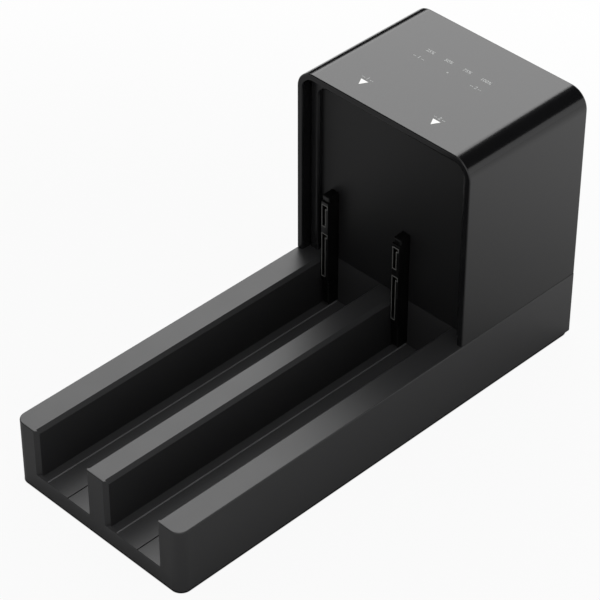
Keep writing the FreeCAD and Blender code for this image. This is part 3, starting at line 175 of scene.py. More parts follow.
@dataclass(frozen=True)
class Finish:
    """A real finish: its colour, its gloss and the fine relief of its surface.

    The relief is a noise of bumps whose width and height are real sizes, read from Object
    coordinates, so that it keeps its scale on every piece. A slower noise lets gloss and shade
    drift a little, as they do on moulded and plated surfaces. The specular level is 0.5 where the
    gloss is just what the IOR gives, and is matched to the real surface otherwise.
    """

    name: str
    colour: str
    roughness: float
    metallic: float = 0.0
    ior: float = 1.5
    specular: float = 0.5
    relief_width_mm: float = 1.0
    relief_height_mm: float = 0.0
    relief_detail: float = 2.0
    cloud_width_mm: float = 12.0
    cloud_detail: float = 3.0
    gloss_drift: float = 0.06
    shade_drift: float = 0.06

    def start(self) -> tuple[bpy.types.NodeTree, bpy.types.Node]:
        """Makes the material with its plain shader.

        Returns:
            The material's node tree and its shader.
        """
        material = bpy.data.materials.new(self.name)
        material.use_nodes = True
        tree = material.node_tree
        shader = tree.nodes["Principled BSDF"]
        shader.inputs["Metallic"].default_value = self.metallic
        if not self.metallic:
            shader.inputs["IOR"].default_value = self.ior
            shader.inputs["Specular IOR Level"].default_value = self.specular
        return tree, shader

    def relief(self, tree: bpy.types.NodeTree, shader: bpy.types.Node) -> None:
        """Roughens the surface with the bumps of the finish.

        Args:
            tree: The material's node tree.
            shader: The material's shader.
        """
        place = add_node(tree, "ShaderNodeTexCoord")
        grain = add_node(tree, "ShaderNodeTexNoise", None, {
            "Vector": place.outputs["Object"], "Scale": 1 / (self.relief_width_mm * MM),
            "Detail": self.relief_detail})
        bump = add_node(tree, "ShaderNodeBump", None, {
            "Height": grain.outputs[0], "Distance": self.relief_height_mm * MM, "Strength": 1.0})
        tree.links.new(bump.outputs["Normal"], shader.inputs["Normal"])

    def drift(self, tree: bpy.types.NodeTree, shader: bpy.types.Node) -> None:
        """Lets the gloss and the shade drift slowly over the surface.

        Args:
            tree: The material's node tree.
            shader: The material's shader.
        """
        place = add_node(tree, "ShaderNodeTexCoord")
        cloud = add_node(tree, "ShaderNodeTexNoise", None, {
            "Vector": place.outputs["Object"], "Scale": 1 / (self.cloud_width_mm * MM),
            "Detail": self.cloud_detail})
        gloss = add_node(tree, "ShaderNodeMapRange", None, {
            "Value": cloud.outputs[0],
            "To Min": self.roughness * (1 - self.gloss_drift),
            "To Max": self.roughness * (1 + self.gloss_drift)})
        tree.links.new(gloss.outputs["Result"], shader.inputs["Roughness"])
        ramp = add_node(tree, "ShaderNodeValToRGB", None, {"Fac": cloud.outputs[0]})
        for stop, sign in zip(ramp.color_ramp.elements, (-1, 1)):
            shade = np.clip(np.array(linear(self.colour)[:3]) * (1 + sign * self.shade_drift), 0, 1)
            stop.color = (*shade, 1.0)
        tree.links.new(ramp.outputs["Color"], shader.inputs["Base Color"])

    def build(self) -> bpy.types.Material:
        """Makes the material with its drift, and with its relief where it has one.

        Returns:
            The finished material.
        """
        tree, shader = self.start()
        if self.relief_height_mm:
            self.relief(tree, shader)
        self.drift(tree, shader)
        return bpy.data.materials[self.name]


@dataclass(frozen=True)
class BoardFinish(Finish):
    """Solder mask over copper: the copper's tracks show through as lighter lines.

    The tracks are where a noise that is read in steps of the track pitch is high, so that they run
    straight and turn at right angles, as routed copper does.
    """

    track_colour: str = "#1F6B41"
    track_pitch_mm: float = 1.27
    track_patch_mm: float = 7.0
    track_level: float = 0.54

    def build(self) -> bpy.types.Material:
        """Makes the mask with its tracks, in one gloss all over.

        Returns:
            The finished material.
        """
        tree, shader = self.start()
        self.relief(tree, shader)
        shader.inputs["Roughness"].default_value = self.roughness
        place = add_node(tree, "ShaderNodeTexCoord")
        snapped = add_node(tree, "ShaderNodeVectorMath", {"operation": "SNAP"}, {
            0: place.outputs["Object"], 1: (self.track_pitch_mm * MM,) * 3})
        routes = add_node(tree, "ShaderNodeTexNoise", None, {
            "Vector": snapped.outputs[0], "Scale": 1 / (self.track_patch_mm * MM), "Detail": 0.0})
        ramp = add_node(tree, "ShaderNodeValToRGB", None, {"Fac": routes.outputs[0]})
        ramp.color_ramp.interpolation = "CONSTANT"
        mask, track = ramp.color_ramp.elements
        mask.color = linear(self.colour)
        track.color = linear(self.track_colour)
        track.position = self.track_level
        tree.links.new(ramp.outputs["Color"], shader.inputs["Base Color"])
        return bpy.data.materials[self.name]


@dataclass(frozen=True)
class ClearFinish(Finish):
    """A clear moulding that lets light through."""

    def build(self) -> bpy.types.Material:
        """Makes the clear material, with the faint drift that cooling leaves in it.

        Returns:
            The finished material.
        """
        tree, shader = self.start()
        self.drift(tree, shader)
        shader.inputs["Transmission Weight"].default_value = 1.0
        return bpy.data.materials[self.name]


# Spark-eroded mould, so the ABS comes out matt with a fine grain. The real grain of about 0.1 mm
# doesn't show at this size, so it is drawn 0.5 mm wide.
TRAY_ABS = Finish(
    "fine-textured black ABS", "#232324", 0.41, specular=0.69, relief_width_mm=0.5,
    relief_height_mm=0.006)
# Polished mould: the hood's skin mirrors lamps softly, with a faint waviness from cooling.
HOOD_ABS = Finish(
    "polished black ABS", "#101011", 0.16, relief_width_mm=9.0, relief_height_mm=0.004)
# The recessed panel is satin, so the bays show in it only as a soft change of shade.
PANEL_ABS = Finish(
    "satin black ABS", "#0D0D0E", 0.45, specular=0.48, relief_width_mm=0.5,
    relief_height_mm=0.004)
# The frame round the panel is moulded smooth, a little glossier than the tray.
BEZEL_ABS = Finish(
    "semi-gloss black ABS", "#131314", 0.26, relief_width_mm=0.6, relief_height_mm=0.003)
# The strips in the bays are rubbed by drives: their gloss drifts more than the tray's.
LINER_ABS = Finish(
    "moulded black ABS strip", "#313132", 0.45, specular=0.6, relief_width_mm=0.5,
    relief_height_mm=0.012, gloss_drift=0.12)
# The bead that drives slide along is black ABS, drawn light grey as a painted highlight along
# its top, and a little smoother than the liner.
BEAD_HIGHLIGHT_ABS = Finish(
    "black ABS bead with painted highlight", "#5E5E5F", 0.3, relief_width_mm=0.8, relief_height_mm=0.01,
    gloss_drift=0.2, shade_drift=0.25)
# Black nylon with glass fibres, moulded smooth: near black with a narrow sheen, and faintly
# speckled where fibres come to its skin.
SOCKET_NYLON = Finish(
    "glass-filled nylon", "#060606", 0.28, relief_width_mm=0.4, relief_height_mm=0.006)
# Black nylon round the sockets' slots, drawn light grey as a painted highlight on the slots'
# bevelled edges.
RIM_HIGHLIGHT_NYLON = Finish(
    "nylon edge with painted highlight", "#585856", 0.3, relief_width_mm=0.8, relief_height_mm=0.01,
    gloss_drift=0.2, shade_drift=0.3)
# Nylon without glass, as in the ports and the switch: a broader sheen and a shade lighter.
PORT_NYLON = Finish(
    "black nylon", "#121212", 0.36, relief_width_mm=0.4, relief_height_mm=0.004)
# Thin gold over nickel: warm, and smooth enough to mirror softly.
GOLD_PLATE = Finish("gold-plated contact", "#D9B05A", 0.25, metallic=1.0)
# Drawn and barrel-plated shells have a soft mirror with faint clouds.
NICKEL_PLATE = Finish(
    "nickel-plated shell", "#B9B7B0", 0.22, metallic=1.0, relief_width_mm=2.0,
    relief_height_mm=0.002, gloss_drift=0.2)
# Rolled and zinc-plated screws: bright, with a slightly uneven skin.
SCREW_STEEL = Finish(
    "zinc-plated steel", "#A9ABAE", 0.3, metallic=1.0, relief_width_mm=0.5,
    relief_height_mm=0.003, gloss_drift=0.2)
# Mask over etched copper, glossy with a slight orange peel.
SOLDER_MASK = BoardFinish(
    "solder-masked glass epoxy", "#0E4A2B", 0.3, relief_width_mm=1.2, relief_height_mm=0.01)
# Transfer-moulded epoxy is flat black and a little grainy.
EPOXY_PACKAGE = Finish(
    "epoxy-moulded package", "#161616", 0.5, relief_width_mm=0.4, relief_height_mm=0.006)
# Drawn cans keep a satin mirror.
ALUMINIUM_CAN = Finish("aluminium can", "#B8BABC", 0.35, metallic=1.0, gloss_drift=0.15)
# The yellowish white of a lamp's phosphor resin.
LAMP_RESIN = Finish("lamp encapsulant", "#E8E6D8", 0.25)
# Moulded acrylic: clear and glossy.
CLEAR_ACRYLIC = ClearFinish("clear acrylic", "#E9EEF0", 0.08, ior=1.49)
# Moulded rubber is deep matt with a fine skin.
MOULDED_RUBBER = Finish(
    "matt rubber", "#0F0F0F", 0.75, relief_width_mm=0.5, relief_height_mm=0.02)
# Pad-printed ink lies as a thin satin film, in white and in the grey that thinner ink turns to.
WHITE_INK = Finish("white pad-print ink", "#F4F4F2", 0.45)
GREY_INK = Finish("grey pad-print ink", "#A6A8A7", 0.45)


def closed_skin(rings: np.ndarray, first: np.ndarray, last: np.ndarray) -> Skin:
    """Joins a stack of rings into a skin that closes in one point at each end.

    Args:
        rings: Points by ring and by step round the ring, anticlockwise seen from the first end.
        first: The point that closes the skin before the first ring.
        last: The point that closes it after the last ring.

    Returns:
        The points and the faces, which look outwards.
    """
    count, steps = rings.shape[:2]
    ring = (np.arange(count - 1) * steps)[:, None]
    here = np.arange(steps)[None, :]
    after = (here + 1) % steps
    walls = np.stack([ring + here, ring + steps + here, ring + steps + after, ring + after], axis=-1)
    near_fan = np.stack([np.full(steps, count * steps), here[0], after[0]], axis=-1)
    final = (count - 1) * steps
    far_fan = np.stack([np.full(steps, count * steps + 1), final + after[0], final + here[0]], axis=-1)
    points = np.vstack([rings.reshape(-1, 3), first, last])
    faces = walls.reshape(-1, 4).tolist() + near_fan.tolist() + far_fan.tolist()
    return points, [tuple(face) for face in faces]


def revolve(profile: np.ndarray, steps: int) -> Skin:
    """Turns a profile round the Z axis into a closed skin.

    A point of the skin is (radius times the cosine of the angle, radius times the sine of the
    angle, height), over every profile point and every angle step.

    Args:
        profile: Rows of radius and height, from the outer face's middle down the side to the
            inner end's middle. The first and the last row lie on the axis.
        steps: How many angle steps go once round.

    Returns:
        The points and the faces.
    """
    angle = np.arange(steps) * (2 * math.pi / steps)
    radius, height = profile[1:-1, 0][:, None], profile[1:-1, 1][:, None]
    rings = np.stack(
        [radius * np.cos(angle), radius * np.sin(angle), height + 0 * angle], axis=-1)
    ends = [np.array((0.0, 0.0, profile[end, 1])) for end in (0, -1)]
    return closed_skin(rings, *ends)


def prism(outline: np.ndarray, thickness: float) -> Skin:
    """Gives a flat outline a thickness: its corners at height 0 and again at the thickness.

    Args:
        outline: Rows of x, y, anticlockwise.
        thickness: How far it rises along Z.

    Returns:
        The points and the faces.
    """
    count = len(outline)
    low = np.column_stack([outline, np.zeros(count)])
    points = np.vstack([low, low + (0.0, 0.0, thickness)])
    here = np.arange(count)
    after = (here + 1) % count
    sides = np.stack([here, after, after + count, here + count], axis=-1).tolist()
    faces = [tuple(range(count - 1, -1, -1)), tuple(range(count, 2 * count))]
    return points, faces + [tuple(side) for side in sides]


def together(parts: list[Skin]) -> Skin:
    """Puts several meshes into one, with the corner numbers of each moved past those before it.

    Args:
        parts: Points and faces of each.

    Returns:
        The points and the faces of all.
    """
    faces: Faces = []
    start = 0
    for points, part_faces in parts:
        faces += [tuple(corner + start for corner in face) for face in part_faces]
        start += len(points)
    return np.vstack([points for points, _ in parts]), faces


def flat_sheet(name: str, width: float, height: float) -> bpy.types.Mesh:
    """Makes a flat rectangle round the origin that looks up, with its corners at half its sides.

    Args:
        name: The mesh's name.
        width: Its side along X in metres.
        height: Its side along Y in metres.

    Returns:
        The mesh.
    """
    outline = np.array([(-1, -1, 0), (1, -1, 0), (1, 1, 0), (-1, 1, 0)]) * (width / 2, height / 2, 0)
    mesh = bpy.data.meshes.new(name)
    mesh.from_pydata(outline.tolist(), [], [(0, 1, 2, 3)])
    return mesh


@dataclass
class Workshop:
    """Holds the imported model's objects and the built materials, and puts meshes into the scene."""

    nodes: dict[str, bpy.types.Object]
    sharp_deg: float = 32.0
    weld_mm: float = 0.001
    figure_share: float = 0.7
    bolder_share: float = 0.02
    curve_steps: int = 3
    materials: dict[str, bpy.types.Material] = field(default_factory=dict)

    def material(self, finish: Finish) -> bpy.types.Material:
        """Looks up a finish's material, and builds it the first time that it is asked for.

        Args:
            finish: The finish.

        Returns:
            The material.
        """
        if finish.name not in self.materials:
            self.materials[finish.name] = finish.build()
        return self.materials[finish.name]

    def dress(self, finishes: dict[str, Finish]) -> None:
        """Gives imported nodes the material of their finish.

        Args:
            finishes: The finish of each node, by the node's name.
        """
        for name, finish in finishes.items():
            materials = self.nodes[name].data.materials
            materials.clear()
            materials.append(self.material(finish))
            log.info("%s: %s", name, finish.name)

    def solids(self, name: str) -> list[np.ndarray]:
        """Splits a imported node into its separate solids.

        Every corner starts with a number of its own. Each triangle hands its lowest number to its
        three corners until nothing changes, so that a solid ends with one number.

        Args:
            name: The node's name.

        Returns:
            The corners of each solid in millimetres.
        """
        welded = bmesh.new()
        welded.from_mesh(self.nodes[name].data)
        bmesh.ops.remove_doubles(welded, verts=welded.verts, dist=self.weld_mm * MM)
        scratch = bpy.data.meshes.new("solids")
        welded.to_mesh(scratch)
        welded.free()
        points, _ = self.arrays(scratch)
        edges = np.empty(len(scratch.edges) * 2, int)
        scratch.edges.foreach_get("vertices", edges)
        bpy.data.meshes.remove(scratch)
        near, far = edges.reshape(-1, 2).T
        number = np.arange(len(points))
        settled = False
        while not settled:
            before = number.copy()
            np.minimum.at(number, near, before[far])
            np.minimum.at(number, far, before[near])
            settled = np.array_equal(before, number)
        return [points[number == mark] / MM for mark in np.unique(number)]

    @staticmethod
    def arrays(mesh: bpy.types.Mesh) -> tuple[np.ndarray, Faces]:
        """Reads a mesh's points and faces.

        Args:
            mesh: The mesh.

        Returns:
            The points, in the mesh's own unit, and the faces.
        """
        points = np.empty(len(mesh.vertices) * 3)
        mesh.vertices.foreach_get("co", points)
        return points.reshape(-1, 3), [tuple(face.vertices) for face in mesh.polygons]

    def lettering(self, words: str, height: float, thickness: float) -> Skin:
        """Turns plain figures to thin solids of ink, centred on the origin and reading along X.

        A figure takes up its share of the type's size, and its outline is moved out by a small
        share of its height, which makes it bolder.

        Args:
            words: The figures.
            height: How tall a figure is.
            thickness: How thick the ink lies.

        Returns:
            The points, with Z from 0 to the thickness, and the faces.
        """
        curve = bpy.data.curves.new("figures", "FONT")
        curve.body = words
        curve.size = height / self.figure_share
        curve.align_x, curve.align_y = "CENTER", "CENTER"
        curve.extrude = thickness / 2
        curve.offset = self.bolder_share * height
        curve.resolution_u = self.curve_steps
        holder = bpy.data.objects.new("figures", curve)
        flat = bpy.data.meshes.new_from_object(holder)
        welded = bmesh.new()
        welded.from_mesh(flat)
        bmesh.ops.remove_doubles(welded, verts=welded.verts, dist=self.weld_mm)
        bmesh.ops.recalc_face_normals(welded, faces=welded.faces)
        welded.to_mesh(flat)
        welded.free()
        points, faces = self.arrays(flat)
        bpy.data.meshes.remove(flat)
        bpy.data.objects.remove(holder)
        bpy.data.curves.remove(curve)
        return points + (0.0, 0.0, thickness / 2), faces

    def piece(
            self, name: str, skin: Skin, finish: Finish, slot: str,
            body: Body = Body.HOUSING) -> bpy.types.Object:
        """Puts a mesh into the scene as a piece that rides on a body.

        Args:
            name: The piece's name.
            skin: Its points in millimetres and its faces.
            finish: The piece's finish.
            slot: The record's material slot for the piece; not used.
            body: The body that it rides on.

        Returns:
            The new object.
        """
        points, faces = skin
        mesh = bpy.data.meshes.new(name)
        mesh.from_pydata((points * MM).tolist(), [], faces)
        mesh.materials.append(self.material(finish))
        mesh.shade_smooth()
        mesh.set_sharp_from_angle(angle=math.radians(self.sharp_deg))
        made = bpy.data.objects.new(name, mesh)
        bpy.context.scene.collection.objects.link(made)
        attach(made, body.value)
        log.info("%s: %d faces", name, len(faces))
        return made


@dataclass
class PanHeadScrew:
    """A pan-head screw with a cross recess, along its own Z axis with the head's top at zero.

    The cross, the crown, the thread and the tip are shares of the head's or the shank's own size,
    as the screw standards have them. The rings of the head are shares too: the inner ones of the
    corner where two arms of the cross meet, the outer ones of the head.
    """

    head_radius: float
    head_height: float
    shank_radius: float
    length: float
    crown_share: float = 0.45
    crown_power: int = 4
    recess_reach_share: float = 0.58
    recess_half_width_share: float = 0.15
    recess_depth_share: float = 0.75
    recess_edge_slack: float = 1.001
    inner_rings: tuple[float, ...] = (0.5, 0.95, 1.12)
    outer_rings: tuple[float, ...] = (0.8, 0.92, 0.98, 1.0, 1.0)
    wall_width: float = 0.03
    thread_pitch: float = 0.9
    thread_depth_share: float = 0.14
    steps_per_pitch: int = 4
    tip_share: float = 0.8
    arms: int = 4
    flank_steps: int = 5
    head_rim_share: float = 0.98
    shank_limit_share: float = 0.8

    @classmethod
    def like(cls, solid: np.ndarray) -> tuple[PanHeadScrew, Facing, np.ndarray]:
        """Measures a plain screw and makes the one that stands for it.

        The screw lies along the side of its box that is unlike the two others. The corners furthest
        from that axis are on the head's rim: they say how tall it is and which end it is at. Those
        well inside give the shank.

        Args:
            solid: The plain screw's corners.

        Returns:
            The screw, which way it faces and where its head's top is.
        """
        low, high = solid.min(axis=0), solid.max(axis=0)
        middle, size = (low + high) / 2, high - low
        axis = 2 if abs(size[0] - size[1]) < abs(size[0] - size[2]) else 1
        across = np.delete(solid - middle, axis, axis=1)
        reach = np.hypot(*across.T)
        head_radius = reach.max()
        head = solid[reach > cls.head_rim_share * head_radius][:, axis]
        shank_radius = reach[reach < cls.shank_limit_share * head_radius].max()
        head_is_high = head.mean() > middle[axis]
        facing = (Facing.UP if head_is_high else Facing.DOWN) if axis == 2 else Facing.BACK
        spot = middle.copy()
        spot[axis] = high[axis] if head_is_high else low[axis]
        return cls(head_radius, np.ptp(head), shank_radius, size[axis]), facing, spot

    def angles(self, radius: np.ndarray) -> np.ndarray:
        """Spreads steps round each ring so that they follow the walls of the cross.

        Each quarter turn has three steps across its arm and the rest shared out over the flank
        between two arms. An arm's wall stands at the arcsine of its half width over the radius.

        Args:
            radius: Radius of each ring.

        Returns:
            The angles by ring and by step.
        """
        half_width = self.recess_half_width_share * self.head_radius
        half = np.arcsin(np.minimum(half_width / radius, math.sqrt(0.5)))[:, None]
        wall = self.wall_width / self.head_radius
        low, high = half + wall, np.maximum(math.pi / 2 - half - wall, half + wall)
        arm = half * np.array((-1.0, 0.0, 1.0))
        flank = low + (high - low) * np.linspace(0.0, 1.0, self.flank_steps)
        quarter = np.hstack([arm, flank])[:, None, :]
        turns = (np.arange(self.arms) * math.pi / 2)[None, :, None]
        return (quarter + turns).reshape(len(radius), -1)

    def head(self) -> np.ndarray:
        """Works out the rings of the head.

        The top falls from the middle by the crown times a power of the share of the radius. A
        point lies in the cross, and is lowered by its depth, where the smaller of |x| and |y| is at
        most the arm's half width and the ring is within the arm's reach.

        Returns:
            Points by ring and by step.
        """
        size, tall = self.head_radius, self.head_height
        half_width, reach = self.recess_half_width_share * size, self.recess_reach_share * size
        crossing = math.sqrt(2) * half_width
        radius = np.array([
            *(share * crossing for share in self.inner_rings), reach, reach + self.wall_width,
            *(share * size for share in self.outer_rings)])
        height = -self.crown_share * tall * (radius / size) ** self.crown_power
        height[-1] = -tall
        angle = self.angles(radius)
        x, y = radius[:, None] * np.cos(angle), radius[:, None] * np.sin(angle)
        in_arm = np.minimum(abs(x), abs(y)) <= half_width * self.recess_edge_slack
        in_cross = in_arm & (radius <= reach)[:, None]
        z = height[:, None] - in_cross * self.recess_depth_share * tall
        return np.stack([x, y, z], axis=-1)

    def shank(self) -> np.ndarray:
        """Works out the rings of the threaded shank.

        The radius falls from the crest by the thread's depth times a triangle wave of the height
        over the pitch less the angle over a whole turn, which winds the ridge round the shank. The
        last ring is the tapered tip.

        Returns:
            Points by ring and by step.
        """
        drop = np.arange(self.head_height, self.length, self.thread_pitch / self.steps_per_pitch)
        height = -np.append(drop, self.length)[:, None]
        crest = np.full(len(height), self.shank_radius)
        crest[-1] *= self.tip_share
        angle = self.angles(crest)
        wave = abs(2 * ((height / self.thread_pitch - angle / (2 * math.pi)) % 1.0) - 1)
        radius = crest[:, None] * (1 - self.thread_depth_share * wave)
        return np.stack([radius * np.cos(angle), radius * np.sin(angle), height + 0 * angle], axis=-1)

    def skin(self) -> Skin:
        """Works out the screw's closed skin: the pit of the cross, the head, the shank and the tip.

        Returns:
            The points and the faces.
        """
        pit = np.array((0.0, 0.0, -self.recess_depth_share * self.head_height))
        tip = np.array((0.0, 0.0, -self.length))
        return closed_skin(np.concatenate([self.head(), self.shank()]), pit, tip)


def turn_screws(workshop: Workshop, node: str) -> None:
    """Replaces a node's plain screws with threaded ones in the same places.

    Args:
        workshop: The workshop.
        node: The node that holds the plain screws.
    """
    skins = []
    for solid in workshop.solids(node):
        screw, facing, spot = PanHeadScrew.like(solid)
        points, faces = screw.skin()
        skins.append((facing.place(points, spot), faces))
    made = workshop.piece(f"{node}_threaded", together(skins), SCREW_STEEL, "steel")
    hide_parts(node)


@dataclass
class Housing:
    """The tray, its cover, the tower's hood and panel, the bays' liners, the feet and the prints.

    Lengths are in millimetres. A bead's place is counted from its liner's left side, and it stops
    short of the liner's ends.
    """

    workshop: Workshop
    ink: float = 0.03
    ink_sink: float = 0.01
    figure_height: float = 1.7
    pointer_width: float = 3.8
    pointer_length: float = 3.4
    pointers: tuple[tuple[float, float], ...] = ((-20.3, 51.1), (17.1, 51.1))
    pointer_figure_gap: float = 3.4
    progress_steps: int = 4
    progress_x: float = -1.7
    progress_y: float = 85.0
    progress_pitch: float = 9.6
    status_y: float = 79.0
    status_x: tuple[float, ...] = (-16.6, 12.9)
    status_dot: float = 0.4
    turned_steps: int = 72
    foot_dish: float = 0.1
    foot_dish_shares: tuple[float, float] = (0.76, 0.82)
    foot_rim: float = 0.4
    foot_rim_share: float = 0.3
    bead_place: float = 4.4
    bead_half_width: float = 0.34
    bead_height: float = 0.36
    liner_bead_rise: float = 0.3
    bead_steps: int = 9
    bead_ends: float = 0.3
    mouth_flare: float = 1.6
    liner_gap: float = 0.15
    finishes: dict[str, Finish] = field(default_factory=lambda: {
        "base_tray": TRAY_ABS,
        "bottom_cover": TRAY_ABS,
        "tower_hood": HOOD_ABS,
        "panel_bezel": BEZEL_ABS,
        "front_panel": PANEL_ABS,
        "bay_liner_left": LINER_ABS,
        "bay_liner_right": LINER_ABS,
        "port_panel": TRAY_ABS,
    })

    def on_top(self, mark: Skin, x: float, y: float, top: float) -> Skin:
        """Lays a mark of ink on the hood's top, sunk in a little so that it holds."""
        points, faces = mark
        return Facing.UP.place(points, np.array((x, y, top - self.ink_sink))), faces

    def print_pointers(self, top: float) -> None:
        """Prints the two arrowheads that point from the top to the bays.

        Args:
            top: Height of the hood's top.
        """
        half, reach = self.pointer_width / 2, self.pointer_length / 2
        arrowhead = prism(np.array([(0.0, -reach), (half, reach), (-half, reach)]), self.ink)
        marks = [self.on_top(arrowhead, x, y, top) for x, y in self.pointers]
        self.workshop.piece("bay_pointers", together(marks), WHITE_INK, "shell_satin")

    def print_figures(self, top: float) -> None:
        """Prints the small figures beside the pointers and the lamps, and the middle lamp's dot.

        The progress figures stand a pitch apart, spread evenly about their middle, and count up to
        100 per cent. Each bay's number stands behind its pointer and beside its lamp.

        Args:
            top: Height of the hood's top.
        """
        count = self.progress_steps
        places = [
            (f"{100 * step // count}%",
             self.progress_x + (step - (count + 1) / 2) * self.progress_pitch, self.progress_y)
            for step in range(1, count + 1)]
        places += [(f"-- {bay} --", x, self.status_y) for bay, x in enumerate(self.status_x, start=1)]
        places += [
            (f"-- {bay} --", x, y + self.pointer_figure_gap)
            for bay, (x, y) in enumerate(self.pointers, start=1)]
        marks = [
            self.on_top(self.workshop.lettering(words, self.figure_height, self.ink), x, y, top)
            for words, x, y in places]
        dot_profile = np.array([
            (0.0, self.ink), (self.status_dot, self.ink), (self.status_dot, 0.0), (0.0, 0.0)])
        dot = revolve(dot_profile, self.turned_steps)
        marks.append(self.on_top(dot, self.progress_x, self.status_y, top))
        self.workshop.piece("lamp_figures", together(marks), GREY_INK, "shell_satin")

    def mould_feet(self) -> None:
        """Replaces the plain feet with dished ones.

        Each is a turned profile: a shallow dish inside a flat ring, a rounded rim, a straight side.
        """
        skins = []
        dish, rim, bend = self.foot_dish, self.foot_rim, self.foot_rim_share * self.foot_rim
        for solid in self.workshop.solids("rubber_feet"):
            low, high = solid.min(axis=0), solid.max(axis=0)
            radius, tall = (high[0] - low[0]) / 2, high[2] - low[2]
            dish_floor, dish_edge = (share * radius for share in self.foot_dish_shares)
            profile = np.array([
                (0.0, -dish), (dish_floor, -dish), (dish_edge, 0.0), (radius - rim, 0.0),
                (radius - bend, -bend), (radius, -rim), (radius, -tall), (0.0, -tall)])
            points, faces = revolve(profile, self.turned_steps)
            middle = (low + high) / 2
            skins.append((Facing.DOWN.place(points, np.array((middle[0], middle[1], low[2]))), faces))
        made = self.workshop.piece("dished_feet", together(skins), MOULDED_RUBBER, "rubber_black")
        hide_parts("rubber_feet")

    def lay_highlight_beads(self) -> None:
        """Lays the bead along each bay's liner, light grey as a painted highlight along it.

        Its section is half an ellipse, at the bead's half width times the cosine and its height
        times the sine of an angle from 0 to half a turn. It runs straight along Y and its ends are
        closed flat.
        """
        angle = np.linspace(0.0, math.pi, self.bead_steps)
        section = np.column_stack([self.bead_half_width * np.cos(angle), self.bead_height * np.sin(angle)])
        skins = []
        for side in ("left", "right"):
            low, high = (np.array(corner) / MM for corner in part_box(f"bay_liner_{side}"))
            run = high[1] - low[1] - 2 * self.bead_ends
            points, faces = prism(section, run)
            along = np.column_stack([points[:, 0], run - points[:, 2], points[:, 1]])
            floor = high[2] - self.liner_bead_rise
            skins.append((along + (low[0] + self.bead_place, low[1] + self.bead_ends, floor), faces))
        # The bead's light grey is a painted highlight along its top.
        self.workshop.piece("highlight_beads", together(skins), BEAD_HIGHLIGHT_ABS, "liner_matt")

    def fill_mouths(self) -> None:
        """Fills the corners between each liner's straight front end and the flare of its bay.

        Each is an upright prism whose outline runs along the liner's side, across the front and
        back along the flare. The one on the left of a liner is the right one's mirror image.
        """
        skins = []
        for side in ("left", "right"):
            low, high = (np.array(corner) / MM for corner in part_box(f"bay_liner_{side}"))
            flare, gap = self.mouth_flare, self.liner_gap
            outline = np.array([(0.0, 0.0), (flare + gap, 0.0), (gap, flare), (0.0, flare)])
            rise = high[2] - self.liner_bead_rise - low[2]
            skins.append(self.upright(outline, rise, np.array((high[0], low[1], low[2]))))
            skins.append(self.upright(outline[::-1] * (-1.0, 1.0), rise, low))
        self.workshop.piece("mouth_corners", together(skins), LINER_ABS, "liner_matt")

    @staticmethod
    def upright(outline: np.ndarray, rise: float, spot: np.ndarray) -> Skin:
        """Stands a prism of a flat outline on a spot."""
        points, faces = prism(outline, rise)
        return points + spot, faces

    def build(self) -> None:
        """Dresses the housing and adds what is printed on it and fitted to it."""
        self.workshop.dress(self.finishes)
        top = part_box("tower_hood")[1].z / MM
        self.print_pointers(top)
        self.print_figures(top)
        self.lay_highlight_beads()
        self.fill_mouths()
        self.mould_feet()
        turn_screws(self.workshop, "cover_screws")


@dataclass
class DriveSockets:
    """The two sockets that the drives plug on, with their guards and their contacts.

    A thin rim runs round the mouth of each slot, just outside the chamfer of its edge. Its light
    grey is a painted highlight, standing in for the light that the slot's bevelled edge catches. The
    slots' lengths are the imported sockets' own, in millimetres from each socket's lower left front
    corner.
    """

    workshop: Workshop
    sides: tuple[str, ...] = ("left", "right")
    slot_inset: float = 0.75
    slot_width: float = 1.3
    slot_key: float = 1.0
    slot_heights: tuple[tuple[float, float], ...] = ((2.9, 23.7), (28.0, 37.8))
    rim_place: float = 0.32
    rim_half_width: float = 0.17
    rim_height: float = 0.14
    rim_steps: int = 7

    def rim(self, low: float, high: float) -> Skin:
        """Carries the rim's section round the stepped outline of a slot.

        The section is half an ellipse that stands on the socket's face. At each corner of the
        outline its half width is taken along both of the walls that meet there, so that the corner
        is mitred.

        Args:
            low: Height of the slot's lower end above the socket's foot.
            high: Height of its upper end.

        Returns:
            The points, from the socket's lower left front corner, and the faces.
        """
        left, right, key = np.cumsum((self.slot_inset, self.slot_width, self.slot_key))
        step = high - self.slot_key
        outline = np.array([
            (left, low), (right, low), (right, step), (key, step), (key, high), (left, high)])
        outwards = np.array([(-1, -1), (1, -1), (1, -1), (1, -1), (1, 1), (-1, 1)], float)
        angle = np.linspace(0.0, math.pi, self.rim_steps)
        across = (self.rim_place - self.rim_half_width * np.cos(angle))[None, :, None]
        flat = outline[:, None, :] + outwards[:, None, :] * across
        out = np.broadcast_to(-self.rim_height * np.sin(angle), flat.shape[:2])
        rings = np.stack([flat[..., 0], out, flat[..., 1]], axis=-1)
        count, steps = rings.shape[:2]
        here = (np.arange(count) * steps)[:, None] + np.arange(steps)[None, :]
        after = np.roll(here, -1, axis=0)
        beside, after_beside = np.roll(here, -1, axis=1), np.roll(after, -1, axis=1)
        walls = np.stack([here, after, after_beside, beside], axis=-1).reshape(-1, 4)
        return rings.reshape(-1, 3), [tuple(face) for face in walls.tolist()]

    def lay_highlight_rims(self) -> None:
        """Lays the rims, light grey as a painted highlight, on the faces of both sockets."""
        skins = []
        for side in self.sides:
            foot = np.array(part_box(f"drive_socket_{side}")[0]) / MM
            for low, high in self.slot_heights:
                points, faces = self.rim(low, high)
                skins.append((points + foot, faces))
        # The rims' light grey is a painted highlight on the slots' edges.
        self.workshop.piece("slot_rims", together(skins), RIM_HIGHLIGHT_NYLON, "socket_black")

    def build(self) -> None:
        """Dresses the sockets of both bays and lays their rims."""
        self.lay_highlight_rims()
        for side in self.sides:
            self.workshop.dress({
                f"socket_guard_{side}": SOCKET_NYLON,
                f"drive_socket_{side}": SOCKET_NYLON,
                f"socket_contacts_{side}": GOLD_PLATE,
            })


